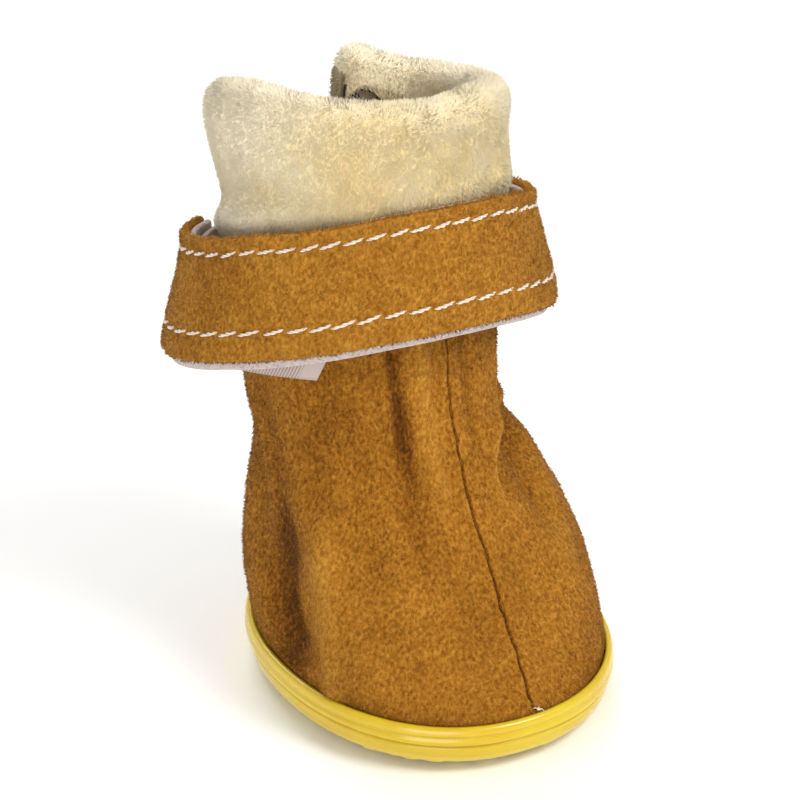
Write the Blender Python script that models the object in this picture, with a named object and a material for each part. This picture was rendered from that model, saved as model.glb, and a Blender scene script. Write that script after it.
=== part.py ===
"""A small dog's winter boot: nubbed cup outsole, suede upper, pleated gusset, plush cuff and wrap strap.

Metres, +Z up. The toe points to -Y, and +X is the boot's left side. The origin lies on the floor, under the
middle of the sole, on the flat foot of the tread's central nub.
"""

import math
import random
from collections import namedtuple
from functools import lru_cache

import bmesh
import bpy
from mathutils import Vector

# Sole
SOLE_LENGTH = 0.050
SOLE_WIDTH = 0.0415
SOLE_FULLNESS = 2.15
SOLE_FLOOR = 0.0022
SOLE_EDGE = 0.0050
RIM_HEIGHT = 0.0067
RIM_WALL = 0.0010
NUB_HEIGHT = 0.0008
NUB_RADIUS = 0.0015
NUB_PITCH = 0.0039
NUB_JITTER = 0.0002
NUB_MARGIN = 0.0021
NUB_ROOT = 0.0005
NUB_SIDES = 7
NUB_TAPER = 0.84
SMALL_NUB = 0.66
NAME_PANEL_LENGTH = 0.021
NAME_PANEL_WIDTH = 0.0046
NAME_PANEL_FORWARD = 0.0042
SIZE_PATCH_RADIUS = 0.0039
SIZE_PATCH_BACK = 0.0087
INSOLE_THICKNESS = 0.0016

# Upper and shaft
BOOT_HEIGHT = 0.079
UPPER_WALL = 0.0012
SEAM_DEPTH = 0.0005
SEAM_HALF_WIDTH = 0.0006
CREASE_DEPTH = 0.0016
CLEARANCE = 0.0003

# Gusset
GUSSET_WIDTH = 0.0092
GUSSET_CLOTH = 0.0005
GUSSET_TUCK = 0.0016
GUSSET_PUFF = 0.0012
GUSSET_FOLD = 0.0024
GUSSET_BELOW_CUFF = 0.0010

# Cuff
CUFF_PILE = 0.0020
CUFF_BASE = 0.0570
CUFF_FOLD = 0.0070
CUFF_FACING = 0.0100
FLAP_FLARE = 0.0120
FLAP_BEND = 1.0

# Strap
STRAP_HEIGHT = 0.0510
STRAP_WIDTH = 0.0155
STRAP_SUEDE = 0.0010
STRAP_LINING = 0.0008
STRAP_SLACK = 0.0045
STRAP_FLARE = 0.0022
STRAP_DROP = 0.0025
LINING_SHOWS = 0.0009
TAPE_WIDTH = 0.0130
TAPE_THICKNESS = 0.0007
TAPE_DROOP = 0.0054
TAPE_SKEW = 14

# Where the strap and the hook tape start and end, in degrees round the shaft from the toe, and where the
# strap begins to follow the right flap instead of the left
STRAP_SEWN_END = 200
STRAP_FREE_END = -145
TAPE_SEWN_END = -152
TAPE_FREE_END = -47
BACK_BLEND_START = 168

RING_STEPS = 48
SIDE_STEPS = 16
SHAFT_STEPS = 12
STRAP_STEPS = 42
TAPE_STEPS = 16
WELT_LEVEL = -0.02
SEAM_SHARE = 0.010

# How far the outward direction looks to each side, in degrees, and up and down, in sections of the last
PROBE_TURN = 1.5
PROBE_CLIMB = 0.06

FOOT_HALF_LENGTH = SOLE_LENGTH / 2 - RIM_WALL - CLEARANCE
FOOT_HALF_WIDTH = SOLE_WIDTH / 2 - RIM_WALL - CLEARANCE
SHAFT_RISE = BOOT_HEIGHT - RIM_HEIGHT
CUP_FLOOR = NUB_HEIGHT + SOLE_FLOOR

# Rings of the sole's underside: inset as a share of SOLE_EDGE, height as a share of the wall above the nubs
SoleRing = namedtuple("SoleRing", "inset height")
UNDERSIDE = [
    SoleRing(1.000, 0.000),
    SoleRing(0.620, 0.022),
    SoleRing(0.370, 0.080),
    SoleRing(0.200, 0.175),
    SoleRing(0.110, 0.310),
    SoleRing(0.070, 0.500),
]

# Rings of the rim's ribbed side: inset as a share of RIM_WALL, height as a share of the wall above the nubs
RIM_SIDE = [
    SoleRing(0.62, 0.580),
    SoleRing(0.12, 0.620),
    SoleRing(0.00, 0.700),
    SoleRing(0.20, 0.790),
    SoleRing(0.06, 0.860),
    SoleRing(0.26, 0.960),
    SoleRing(0.62, 1.000),
]

# Sections of the last from the welt to the collar. Heights at front and back are shares of SHAFT_RISE,
# reaches are shares of FOOT_HALF_LENGTH, width and shift of FOOT_HALF_WIDTH, slot of GUSSET_WIDTH.
Section = namedtuple("Section", "name front_up back_up toe heel width shift fullness slot")
SECTIONS = [
    Section("welt", 0.000, 0.000, 1.000, 1.000, 1.000, 0.000, 2.15, 1.00),
    Section("feather", 0.025, 0.025, 0.945, 1.000, 1.012, 0.000, 2.22, 1.00),
    Section("toe_box", 0.100, 0.090, 0.765, 0.995, 1.020, 0.000, 2.36, 0.98),
    Section("ball", 0.177, 0.153, 0.595, 0.990, 0.990, -0.005, 2.30, 0.96),
    Section("vamp", 0.283, 0.238, 0.370, 1.000, 0.900, -0.030, 2.20, 0.93),
    Section("instep", 0.383, 0.315, 0.213, 1.020, 0.800, -0.065, 2.10, 0.88),
    Section("ankle", 0.491, 0.385, 0.125, 1.045, 0.805, -0.078, 2.05, 0.80),
    Section("strap_low", 0.613, 0.462, 0.056, 1.055, 0.795, -0.070, 2.00, 0.72),
    Section("strap_mid", 0.723, 0.565, 0.030, 1.050, 0.775, -0.055, 2.00, 0.68),
    Section("strap_high", 0.827, 0.670, 0.028, 1.040, 0.762, -0.042, 2.00, 0.72),
    Section("cuff_mid", 0.914, 0.806, 0.030, 1.005, 0.762, -0.038, 2.00, 0.90),
    Section("collar", 1.000, 0.945, 0.040, 0.965, 0.768, -0.034, 2.00, 1.15),
]
TOP_LEVEL = len(SECTIONS) - 1

# How the open collar leans round the leg: shifts at the top edge, as shares of FLAP_FLARE
Lean = namedtuple("Lean", "angle side back up")
LEANS = [
    Lean(-180, -1.26, 0.04, -0.16),
    Lean(-159, -1.08, -0.06, -0.04),
    Lean(-135, -0.70, -0.26, 0.14),
    Lean(-110, -0.25, -0.29, 0.22),
    Lean(-80, 0.08, -0.26, 0.17),
    Lean(-40, 0.14, -0.18, 0.03),
    Lean(0, 0.06, -0.09, -0.06),
    Lean(40, 0.00, -0.10, -0.08),
    Lean(60, -0.08, -0.08, -0.14),
    Lean(80, -0.16, -0.03, -0.20),
    Lean(100, -0.22, 0.00, -0.24),
    Lean(120, -0.31, -0.04, -0.18),
    Lean(135, -0.42, -0.12, -0.01),
    Lean(150, -0.50, -0.23, 0.18),
    Lean(162, -0.57, -0.32, 0.12),
    Lean(180, -0.62, -0.42, 0.20),
]

# Creases of the suede: a soft trough between two points on the last, given as angle in degrees and section
# number. Depth is a share of CREASE_DEPTH, reach is the half width in degrees. A minus depth is a ridge.
Crease = namedtuple("Crease", "name angle0 level0 angle1 level1 depth reach")
CREASES = [
    Crease("flank_hollow", -112, 4.6, -80, 1.6, 1.00, 20),
    Crease("ankle_pinch", 62, 5.6, 42, 3.9, 1.05, 12),
    Crease("shin_fold", -30, 7.2, -24, 4.6, 0.55, 9),
    Crease("vamp_ridge", -60, 3.4, -50, 1.6, -0.45, 14),
    Crease("heel_hollow", 128, 5.2, 118, 2.6, 0.55, 18),
]

# How the strap hangs round the leg: its slack away from the cuff as a share of STRAP_SLACK, and how far it
# has slid down as a share of STRAP_DROP
Slack = namedtuple("Slack", "angle share drop")
SLACKS = [
    Slack(-150, 0.36, 0.30),
    Slack(-125, 0.62, 0.55),
    Slack(-105, 0.74, 0.55),
    Slack(-90, 0.68, 0.35),
    Slack(-75, 0.52, 0.12),
    Slack(-60, 0.34, 0.00),
    Slack(-45, 0.22, -0.12),
    Slack(-25, 0.12, -0.25),
    Slack(0, 0.14, -0.15),
    Slack(20, 0.18, 0.00),
    Slack(38, 0.22, 0.35),
    Slack(52, 0.18, 0.80),
    Slack(70, 0.06, 1.00),
    Slack(90, 0.06, 1.00),
    Slack(120, 0.14, 0.80),
    Slack(150, 0.10, 0.40),
    Slack(180, 0.04, 0.10),
    Slack(205, 0.00, 0.00),
]

# The gusset's pleat across the slot: x as a share of the slot's half width, depth as a share of puff or fold
Pleat = namedtuple("Pleat", "across out")
PLEATS = [Pleat(0.72, 0.30), Pleat(0.52, 1.00), Pleat(0.26, 0.72), Pleat(0.10, -0.35), Pleat(0.00, -1.00)]


def clamp(value, low=0.0, high=1.0):
    return max(low, min(high, value))


def ease(value):
    t = clamp(value)
    return t * t * (3 - 2 * t)


def catmull_rom(before, start, end, after, t):
    """The value at share t of the stretch from start to end, on a curve through all four."""
    slope0 = (end - before) / 2
    slope1 = (after - start) / 2
    rise = end - start
    return start + t * (slope0 + t * (3 * rise - 2 * slope0 - slope1 + t * (slope0 + slope1 - 2 * rise)))


def column(rows, name, index):
    """A column of a table at a row number that may lie between two rows."""
    last = len(rows) - 1
    low = int(clamp(math.floor(index), 0, last - 1))
    values = [getattr(rows[int(clamp(low + k, 0, last))], name) for k in (-1, 0, 1, 2)]
    return catmull_rom(*values, index - low)


def row_at_angle(rows, angle):
    """The row number, with its fraction, where a table that is sorted by angle reaches this angle."""
    angle = clamp(angle, rows[0].angle, rows[-1].angle)
    for index, (row, after) in enumerate(zip(rows, rows[1:])):
        if angle <= after.angle:
            return index + (angle - row.angle) / (after.angle - row.angle)
    return len(rows) - 1


def oval_radius(half_length, half_width, fullness, angle):
    """Distance from the middle of a full oval to its edge, angle measured from the toe."""
    lengthways = abs(math.cos(angle)) / half_length
    sideways = abs(math.sin(angle)) / half_width
    return (lengthways**fullness + sideways**fullness) ** (-1 / fullness)


def side_height(share):
    """Height of a share of the sole's side wall above the nubs."""
    return NUB_HEIGHT + share * (RIM_HEIGHT - NUB_HEIGHT)


def sole_point(inset, height, degrees):
    """A point on the sole's outline, drawn in by inset, at this height."""
    angle = math.radians(degrees)
    radius = oval_radius(SOLE_LENGTH / 2 - inset, SOLE_WIDTH / 2 - inset, SOLE_FULLNESS, angle)
    return Vector((radius * math.sin(angle), -radius * math.cos(angle), height))


def section_at(level):
    """The last's section at a level: its front and back points, half width, shift and fullness."""
    level = clamp(level, 0, TOP_LEVEL)
    front = Vector((0, -column(SECTIONS, "toe", level) * FOOT_HALF_LENGTH, 0))
    back = Vector((0, column(SECTIONS, "heel", level) * FOOT_HALF_LENGTH, 0))
    front.z = RIM_HEIGHT + column(SECTIONS, "front_up", level) * SHAFT_RISE
    back.z = RIM_HEIGHT + column(SECTIONS, "back_up", level) * SHAFT_RISE
    half_width = column(SECTIONS, "width", level) * FOOT_HALF_WIDTH
    shift = column(SECTIONS, "shift", level) * FOOT_HALF_WIDTH
    return front, back, half_width, shift, column(SECTIONS, "fullness", level)


@lru_cache(maxsize=None)
def level_at_height(height):
    """The level whose section has its front at this height."""
    low, high = 0.0, float(TOP_LEVEL)
    for _ in range(40):
        middle = (low + high) / 2
        if section_at(middle)[0].z < height:
            low = middle
        else:
            high = middle
    return (low + high) / 2


LEAN_START = level_at_height(CUFF_BASE)


def lean_at(degrees, level):
    """How far the open collar has moved from the plain shaft."""
    grown = clamp((level - LEAN_START) / (TOP_LEVEL - LEAN_START)) ** FLAP_BEND
    row = row_at_angle(LEANS, degrees)
    shift = Vector((column(LEANS, "side", row), column(LEANS, "back", row), column(LEANS, "up", row)))
    return shift * FLAP_FLARE * grown


def bare_last(degrees, level):
    """A point on the last, before creases. Level -1 is the foot of the wall, inside the sole."""
    front, back, half_width, shift, fullness = section_at(level)
    angle = math.radians(degrees)
    half_length = (back - front).length / 2
    radius = oval_radius(half_length, half_width, fullness, angle)
    along = radius * math.cos(angle) / half_length
    point = (front + back) / 2 + (front - back) / 2 * along
    point.x = shift + radius * math.sin(angle)
    if level < 0:
        point.z += level * (point.z - CUP_FLOOR - CLEARANCE)
    return point + lean_at(degrees, level)


def outward(degrees, level):
    """The outward direction of the last's surface."""
    round_leg = bare_last(degrees + PROBE_TURN, level) - bare_last(degrees - PROBE_TURN, level)
    up_leg = Vector((0, 0, 1))
    if level > 0:
        high, low = min(level + PROBE_CLIMB, TOP_LEVEL), level - PROBE_CLIMB
        up_leg = bare_last(degrees, high) - bare_last(degrees, max(low, 0))
    return round_leg.cross(up_leg).normalized()


def crease_depth(degrees, level):
    """How far the creases draw the suede in, in metres."""
    depth = 0.0
    for crease in CREASES:
        run = Vector((crease.angle1 - crease.angle0, (crease.level1 - crease.level0) * crease.reach))
        here = Vector((degrees - crease.angle0, (level - crease.level0) * crease.reach))
        share = clamp(here.dot(run) / run.length_squared)
        away = (here - run * share).length / crease.reach
        depth += crease.depth * CREASE_DEPTH * (1 - ease(away))
    return depth


def on_boot(degrees, level, out=0.0):
    """A point on the suede's outer face, or out metres outside it."""
    direction = outward(degrees, level)
    return bare_last(degrees, level) + direction * (out - crease_depth(degrees, level))


def slot_half_width(level):
    return column(SECTIONS, "slot", clamp(level, 0, TOP_LEVEL)) * GUSSET_WIDTH / 2


def slot_angle(level):
    """Degrees from the toe to the suede's edge beside the back slot."""
    front, back, *_ = section_at(level)
    return 180 - math.degrees(math.asin(slot_half_width(level) / ((back - front).length / 2)))


def add_object(name, mesh_maker, material):
    """Makes a named object from a bmesh that the function mesh_maker fills."""
    mesh = bpy.data.meshes.new(name)
    shape = bmesh.new()
    mesh_maker(shape)
    bmesh.ops.recalc_face_normals(shape, faces=shape.faces)
    if shape.calc_volume(signed=True) < 0:
        bmesh.ops.reverse_faces(shape, faces=shape.faces)
    shape.to_mesh(mesh)
    shape.free()
    mesh.shade_smooth()
    mesh.set_sharp_from_angle(angle=math.radians(40))
    made = bpy.data.objects.new(name, mesh)
    bpy.context.collection.objects.link(made)
    mesh.materials.append(material)
    return made


def grid_of(shape, rows):
    """A sheet of faces through rows of points."""
    verts = [[shape.verts.new(point) for point in row] for row in rows]
    for lower, upper in zip(verts, verts[1:]):
        for k in range(len(lower) - 1):
            shape.faces.new((lower[k], lower[k + 1], upper[k + 1], upper[k]))
    return verts


def bridge(shape, edge, other):
    """A strip of faces between two matching rows of vertices."""
    for k in range(len(edge) - 1):
        shape.faces.new((edge[k], edge[k + 1], other[k + 1], other[k]))


def loft_of(shape, loops):
    """A closed skin through closed loops of points, with a cap at each end."""
    verts = [[shape.verts.new(point) for point in loop] for loop in loops]
    for lower, upper in zip(verts, verts[1:]):
        count = len(lower)
        for k in range(count):
            after = (k + 1) % count
            shape.faces.new((lower[k], lower[after], upper[after], upper[k]))
    shape.faces.new(verts[0])
    shape.faces.new(verts[-1])


def thick_sheet(name, outer, inner, material):
    """A closed solid between two sheets of points that match row by row, bent as cloth is."""

    def build(shape):
        front = grid_of(shape, outer)
        back = grid_of(shape, inner)
        for rows in ((front[0], back[0]), (front[-1], back[-1])):
            bridge(shape, *rows)
        bridge(shape, [row[0] for row in front], [row[0] for row in back])
        bridge(shape, [row[-1] for row in front], [row[-1] for row in back])

    return add_object(name, build, material)


def make_material(name, colour, roughness):
    material = bpy.data.materials.new(name)
    material.use_nodes = True
    shader = material.node_tree.nodes["Principled BSDF"]
    shader.inputs["Base Color"].default_value = (*colour, 1)
    shader.inputs["Roughness"].default_value = roughness
    shader.inputs["Metallic"].default_value = 0
    material.diffuse_color = (*colour, 1)
    return material


def underside_height(x, y):
    """Height of the sole's underside, without nubs, over a point of the floor."""
    angle = math.atan2(x, -y)
    reach = math.hypot(x, y)
    edge = sole_point(0, 0, math.degrees(angle)).length
    share = (edge - reach) / SOLE_EDGE
    for outer, inner in zip(UNDERSIDE[1:], UNDERSIDE):
        if outer.inset <= share <= inner.inset:
            t = (inner.inset - share) / (inner.inset - outer.inset)
            return side_height(inner.height + t * (outer.height - inner.height))
    return NUB_HEIGHT


def is_bare(x, y):
    """True in the tread's plain panel and its round patch."""
    in_panel = abs(x) < NAME_PANEL_LENGTH / 2 and abs(y + NAME_PANEL_FORWARD) < NAME_PANEL_WIDTH / 2
    return in_panel or math.hypot(x, y - SIZE_PATCH_BACK) < SIZE_PATCH_RADIUS


def nub_layout():
    """Centre, half widths and turn of each tread nub, on a loose triangular pattern."""
    chance = random.Random(11)
    nubs = []
    row_pitch = NUB_PITCH * math.sqrt(3) / 2
    rows = int(SOLE_LENGTH / 2 / row_pitch) + 1
    columns = int(SOLE_WIDTH / 2 / NUB_PITCH) + 2
    for row in range(-rows, rows + 1):
        for place in range(-columns, columns + 1):
            jitter = Vector((chance.uniform(-1, 1), chance.uniform(-1, 1))) * NUB_JITTER
            size = SMALL_NUB if chance.random() < 0.2 else chance.uniform(0.92, 1.0)
            stretch = chance.uniform(1.0, 1.12)
            turn = chance.uniform(0, math.pi)
            if row == 0 and place == 0:
                jitter, size = Vector((0, 0)), 1.0
            x = (place + (row % 2) / 2) * NUB_PITCH + jitter.x
            y = row * row_pitch + jitter.y
            edge = sole_point(NUB_MARGIN, 0, math.degrees(math.atan2(x, -y))).length
            if math.hypot(x, y) < edge and not is_bare(x, y):
                nubs.append((x, y, NUB_RADIUS * size, NUB_RADIUS * size / stretch, turn))
    return nubs


def nub_solids(shape):
    """The tread's nubs as short tapered studs that reach into the sole."""
    for x, y, long_radius, short_radius, turn in nub_layout():
        ground = underside_height(x, y)
        foot = ground - NUB_HEIGHT
        loops = []
        for height, share in ((foot, NUB_TAPER), (ground + NUB_ROOT, 1.0)):
            loop = []
            for k in range(NUB_SIDES):
                angle = math.tau * k / NUB_SIDES
                across = Vector((math.cos(angle) * long_radius, math.sin(angle) * short_radius)) * share
                loop.append((
                    x + across.x * math.cos(turn) - across.y * math.sin(turn),
                    y + across.x * math.sin(turn) + across.y * math.cos(turn),
                    height,
                ))
            loops.append(loop)
        loft_of(shape, loops)


def make_outsole(material):
    """The moulded cup: rounded underside, ribbed rim and flat inner floor, with the nubs joined on."""
    profile = [(ring.inset * SOLE_EDGE, ring.height) for ring in UNDERSIDE]
    profile += [(ring.inset * RIM_WALL, ring.height) for ring in RIM_SIDE]
    profile += [(RIM_WALL, 1.0)]
    angles = [360 * k / RING_STEPS for k in range(RING_STEPS)]
    loops = [[sole_point(inset, side_height(share), a) for a in angles] for inset, share in profile]
    loops.append([sole_point(RIM_WALL, CUP_FLOOR, a) for a in angles])
    outsole = add_object("outsole", lambda shape: loft_of(shape, loops), material)
    nubs = add_object("tread_nubs_tool", nub_solids, material)
    nubs.hide_render = True
    nubs.display_type = "WIRE"
    join = outsole.modifiers.new("tread", "BOOLEAN")
    join.operation = "UNION"
    join.solver = "EXACT"
    join.object = nubs
    return outsole


def make_insole(material):
    """The fleece pad on the cup's floor, inside the foot of the upper."""
    inset = RIM_WALL + CLEARANCE + UPPER_WALL + CLEARANCE
    low = CUP_FLOOR + CLEARANCE
    high = low + INSOLE_THICKNESS
    soften = INSOLE_THICKNESS * 0.3
    profile = [(inset, low), (inset, high - soften), (inset + soften, high)]
    angles = [360 * k / RING_STEPS for k in range(RING_STEPS)]
    loops = [[sole_point(d, height, a) for a in angles] for d, height in profile]
    return add_object("insole", lambda shape: loft_of(shape, loops), material)


def seam_depth(degrees, level):
    """The groove of the closed seam down the middle of the front."""
    front, back, *_ = section_at(level)
    away = abs(math.radians(degrees)) * (back - front).length / 2
    return SEAM_DEPTH * clamp(1 - away / SEAM_HALF_WIDTH)


def upper_point(share, level, depth):
    """A point of the suede wall: share runs from -1 at the right edge of the slot to 1 at the left edge."""
    degrees = share * slot_angle(level)
    groove = seam_depth(degrees, level) if depth == 0 else 0.0
    return on_boot(degrees, level, -depth - groove)


def wall_shares():
    """Stations round the suede wall, closer together beside the front seam."""
    side = [SEAM_SHARE * 4.5 + (1 - SEAM_SHARE * 4.5) * k / SIDE_STEPS for k in range(SIDE_STEPS + 1)]
    return [-s for s in reversed(side)] + [-SEAM_SHARE, 0, SEAM_SHARE] + side


def even_levels(low, high, steps):
    """Levels from low to high, without low itself."""
    return [low + (high - low) * (k + 1) / steps for k in range(steps)]


def cuff_levels():
    """The levels that the suede and the cuff share, from the cuff's lower edge to the suede's top edge."""
    base = level_at_height(CUFF_BASE)
    facing = level_at_height(BOOT_HEIGHT - CUFF_FACING)
    top = level_at_height(BOOT_HEIGHT - CUFF_FOLD)
    outside = [base] + even_levels(base, facing, 4)
    return outside, [facing] + even_levels(facing, top, 2)


def shaft_levels(base):
    """The levels that the suede and the gusset share, from the welt to the cuff's lower edge."""
    return [WELT_LEVEL] + even_levels(WELT_LEVEL, base, SHAFT_STEPS)


def make_upper(material):
    """The suede foot and shaft, one hollow wall that is open at the collar, the back slot and underneath."""
    outside, inside = cuff_levels()
    levels = [-1] + shaft_levels(outside[0]) + outside[1:] + inside[1:]
    outer = [[upper_point(s, level, 0) for s in wall_shares()] for level in levels]
    inner = [[upper_point(s, level, UPPER_WALL) for s in wall_shares()] for level in levels]
    return thick_sheet("upper", outer, inner, material)


def gusset_row(level, depth):
    """One row of points across the pleat, depth metres behind its outer face, from the right to the left."""
    edge = slot_angle(level)
    front, back, *_ = section_at(level)
    tuck = math.degrees(GUSSET_TUCK / ((back - front).length / 2))
    behind = -UPPER_WALL - CLEARANCE
    right, left = on_boot(-edge, level), on_boot(edge, level)
    away = (outward(-edge, level) + outward(edge, level)).normalized()
    freed = ease(level / 1.2)
    row = [on_boot(-edge + turn, level, behind - depth) for turn in (tuck, 0)]
    pleats = [(-pleat.across, pleat.out) for pleat in PLEATS]
    pleats += [(pleat.across, pleat.out) for pleat in reversed(PLEATS[:-1])]
    for across, out in pleats:
        rise = out * (GUSSET_PUFF if out > 0 else GUSSET_FOLD)
        reach = behind * (1 - freed) + rise * freed
        row.append(right.lerp(left, (across + 1) / 2) + away * (reach - depth))
    return row + [on_boot(edge - turn, level, behind - depth) for turn in (0, tuck)]


def make_gusset(material):
    """The gingham pleat that fills the slot at the back, tucked behind both edges of the suede."""
    outside, inside = cuff_levels()
    top = level_at_height(BOOT_HEIGHT - CUFF_FACING - GUSSET_BELOW_CUFF)
    above_insole = (INSOLE_THICKNESS + CLEARANCE) / (RIM_HEIGHT - CUP_FLOOR - CLEARANCE) - 1
    levels = [above_insole] + shaft_levels(outside[0]) + outside[1:-1] + [top]
    outer = [gusset_row(level, 0) for level in levels]
    inner = [gusset_row(level, GUSSET_CLOTH) for level in levels]
    return thick_sheet("gusset", outer, inner, material)


def cuff_profile():
    """The cuff's section as level and out pairs: an upturned U that straddles the top edge of the suede."""
    outside, inside = cuff_levels()
    base, facing, top = outside[0], inside[0], inside[-1]
    suede_top = level_at_height(BOOT_HEIGHT - CUFF_FOLD + CLEARANCE)
    shoulder = level_at_height(BOOT_HEIGHT - CUFF_PILE)
    crown = level_at_height(BOOT_HEIGHT - CUFF_PILE * 0.3)
    middle = -UPPER_WALL / 2
    lining_face = -UPPER_WALL - CLEARANCE
    inner_face = lining_face - CUFF_PILE
    outer_face = CLEARANCE + CUFF_PILE
    profile = [(base, CLEARANCE), (base, outer_face * 0.75), (base + 0.15, outer_face)]
    profile += [(level, outer_face) for level in outside[1:] + inside[1:]]
    profile += [(shoulder, outer_face), (crown, outer_face * 0.62), (TOP_LEVEL, middle)]
    profile += [(crown, middle + (inner_face - middle) * 0.68), (shoulder, inner_face), (top, inner_face)]
    profile += [(facing + 0.12, inner_face), (facing, inner_face * 0.75)]
    profile += [(level, lining_face) for level in inside]
    profile += [(suede_top, lining_face), (suede_top, CLEARANCE)]
    profile += [(level, CLEARANCE) for level in reversed(outside[1:] + inside[1:])]
    return profile


def make_cuff(material):
    """The plush band, folded over the collar and open at the back slit."""
    profile = cuff_profile()
    loops = []
    for share in wall_shares():
        loops.append([on_boot(share * slot_angle(level), level, out) for level, out in profile])
    return add_object("cuff", lambda shape: loft_of(shape, loops), material)


def round_back(place, degrees, level):
    """A point or direction on the last, eased behind the slot from the left flap to the right."""
    turned = ease((degrees - BACK_BLEND_START) / (STRAP_SEWN_END - BACK_BLEND_START))
    if turned == 0:
        return place(degrees, level)
    return place(degrees, level).lerp(place(degrees - 360, level), turned)


def strap_edge(degrees, share, out):
    """A point of the strap: share 0 is its lower edge and 1 its upper edge, and out is beyond the cuff."""
    row = row_at_angle(SLACKS, degrees)
    slack = column(SLACKS, "share", row) * STRAP_SLACK
    foot = STRAP_HEIGHT - column(SLACKS, "drop", row) * STRAP_DROP
    low, high = level_at_height(foot), level_at_height(foot + STRAP_WIDTH)
    loose = CLEARANCE + max(CUFF_PILE, GUSSET_PUFF) + CLEARANCE + slack
    ends = [round_back(bare_last, degrees, level) for level in (low, high)]
    direction = (round_back(outward, degrees, low) + round_back(outward, degrees, high)).normalized()
    flare = STRAP_FLARE * (1 - ease(share))
    return ends[0].lerp(ends[1], share) + direction * (loose + out + flare)


def strap_band(name, low_share, inner, thickness, material):
    """One layer of the strap from its sewn end, round the leg, to its free end."""
    shares = [low_share, 0.0, 0.5, 1.0] if low_share < 0 else [0.0, 0.35, 0.7, 1.0]
    near, far = [], []
    for k in range(STRAP_STEPS + 1):
        degrees = STRAP_SEWN_END + (STRAP_FREE_END - STRAP_SEWN_END) * k / STRAP_STEPS
        near.append([strap_edge(degrees, share, inner) for share in shares])
        far.append([strap_edge(degrees, share, inner + thickness) for share in shares])
    return thick_sheet(name, near, far, material)


def make_strap(suede, fleece):
    """The suede band and the white loop lining behind it, whose edge shows below the suede."""
    lining = strap_band("strap_lining", -LINING_SHOWS / STRAP_WIDTH, 0.0, STRAP_LINING, fleece)
    band = strap_band("strap", 0.0, STRAP_LINING + CLEARANCE, STRAP_SUEDE, suede)
    return band, lining


def make_hook_tape(material):
    """The hook tape sewn beside the strap's fixed end, which hangs forward under its free end."""
    sag = TAPE_DROOP / STRAP_WIDTH
    low = (STRAP_WIDTH - TAPE_WIDTH) / 2 / STRAP_WIDTH
    high = low + TAPE_WIDTH / STRAP_WIDTH
    near, far = [], []
    for step in range(TAPE_STEPS + 1):
        t = step / TAPE_STEPS
        degrees = TAPE_SEWN_END + (TAPE_FREE_END - TAPE_SEWN_END) * t
        pulled = TAPE_THICKNESS + CLEARANCE
        drop = sag * t * t
        spots = [(degrees + TAPE_SKEW * t * k / 2, low + (high - low) * k / 2 - drop) for k in range(3)]
        near.append([strap_edge(place, share, -pulled) for place, share in spots])
        far.append([strap_edge(place, share, -pulled + TAPE_THICKNESS) for place, share in spots])
    return thick_sheet("hook_tape", near, far, material)


def clear_scene():
    for thing in list(bpy.data.objects):
        bpy.data.objects.remove(thing, do_unlink=True)


def main():
    clear_scene()
    suede = make_material("suede", (0.50, 0.24, 0.055), 0.95)
    plush = make_material("plush", (0.86, 0.77, 0.50), 1.0)
    vinyl = make_material("vinyl", (0.85, 0.66, 0.01), 0.35)
    gingham = make_material("gingham", (0.45, 0.47, 0.55), 0.9)
    loop_cloth = make_material("loop_cloth", (0.80, 0.74, 0.70), 0.95)
    hook_cloth = make_material("hook_cloth", (0.72, 0.64, 0.62), 0.7)
    fleece = make_material("fleece", (0.84, 0.78, 0.60), 1.0)
    make_outsole(vinyl)
    make_insole(fleece)
    make_upper(suede)
    make_gusset(gingham)
    make_cuff(plush)
    make_strap(suede, loop_cloth)
    make_hook_tape(hook_cloth)


main()
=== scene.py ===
# %% [markdown]
# # A small dog's winter boot
#
# The boot is a moulded yellow sole with a nubbed tread, a suede upper that is closed by one seam down the front,
# a pleated gingham gusset at the back, a plush cuff, and a suede strap with hook and loop tape.
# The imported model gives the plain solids. Each piece here is made again, finer, on the same shape, and then
# gets what the solids leave out: nap, pile, stitches, weave, small nubs and folds.

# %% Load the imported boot
import math
import random

import bpy
import numpy as np
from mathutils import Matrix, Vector


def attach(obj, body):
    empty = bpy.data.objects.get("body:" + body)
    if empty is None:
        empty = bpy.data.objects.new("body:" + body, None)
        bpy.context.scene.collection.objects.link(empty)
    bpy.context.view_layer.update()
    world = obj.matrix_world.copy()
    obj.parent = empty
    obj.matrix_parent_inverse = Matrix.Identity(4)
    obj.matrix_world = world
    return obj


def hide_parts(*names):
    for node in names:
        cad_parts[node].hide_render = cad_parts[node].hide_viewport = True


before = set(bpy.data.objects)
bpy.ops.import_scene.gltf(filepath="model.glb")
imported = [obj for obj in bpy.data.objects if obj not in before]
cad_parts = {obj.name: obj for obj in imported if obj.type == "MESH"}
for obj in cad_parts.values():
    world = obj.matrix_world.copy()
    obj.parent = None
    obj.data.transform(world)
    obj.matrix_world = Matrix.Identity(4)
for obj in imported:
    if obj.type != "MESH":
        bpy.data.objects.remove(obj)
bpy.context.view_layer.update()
MM = 0.001
scene = bpy.context.scene
print("packed pieces:", ", ".join(sorted(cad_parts)))

# %% [markdown]
# ## Camera, floor and light
#
# A photograph of a small product is taken from far away with a long lens, so the boot keeps parallel sides.
# The camera stands in front of the boot's right side and looks down at it.

# %% Set the camera
CAMERA_TURN = math.radians(30)
CAMERA_RISE = math.radians(30)
CAMERA_DISTANCE = 0.80
FRAME_WIDTH = 0.0952
AIM = Vector((-3.0, 1.7, 37.8)) * MM

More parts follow.
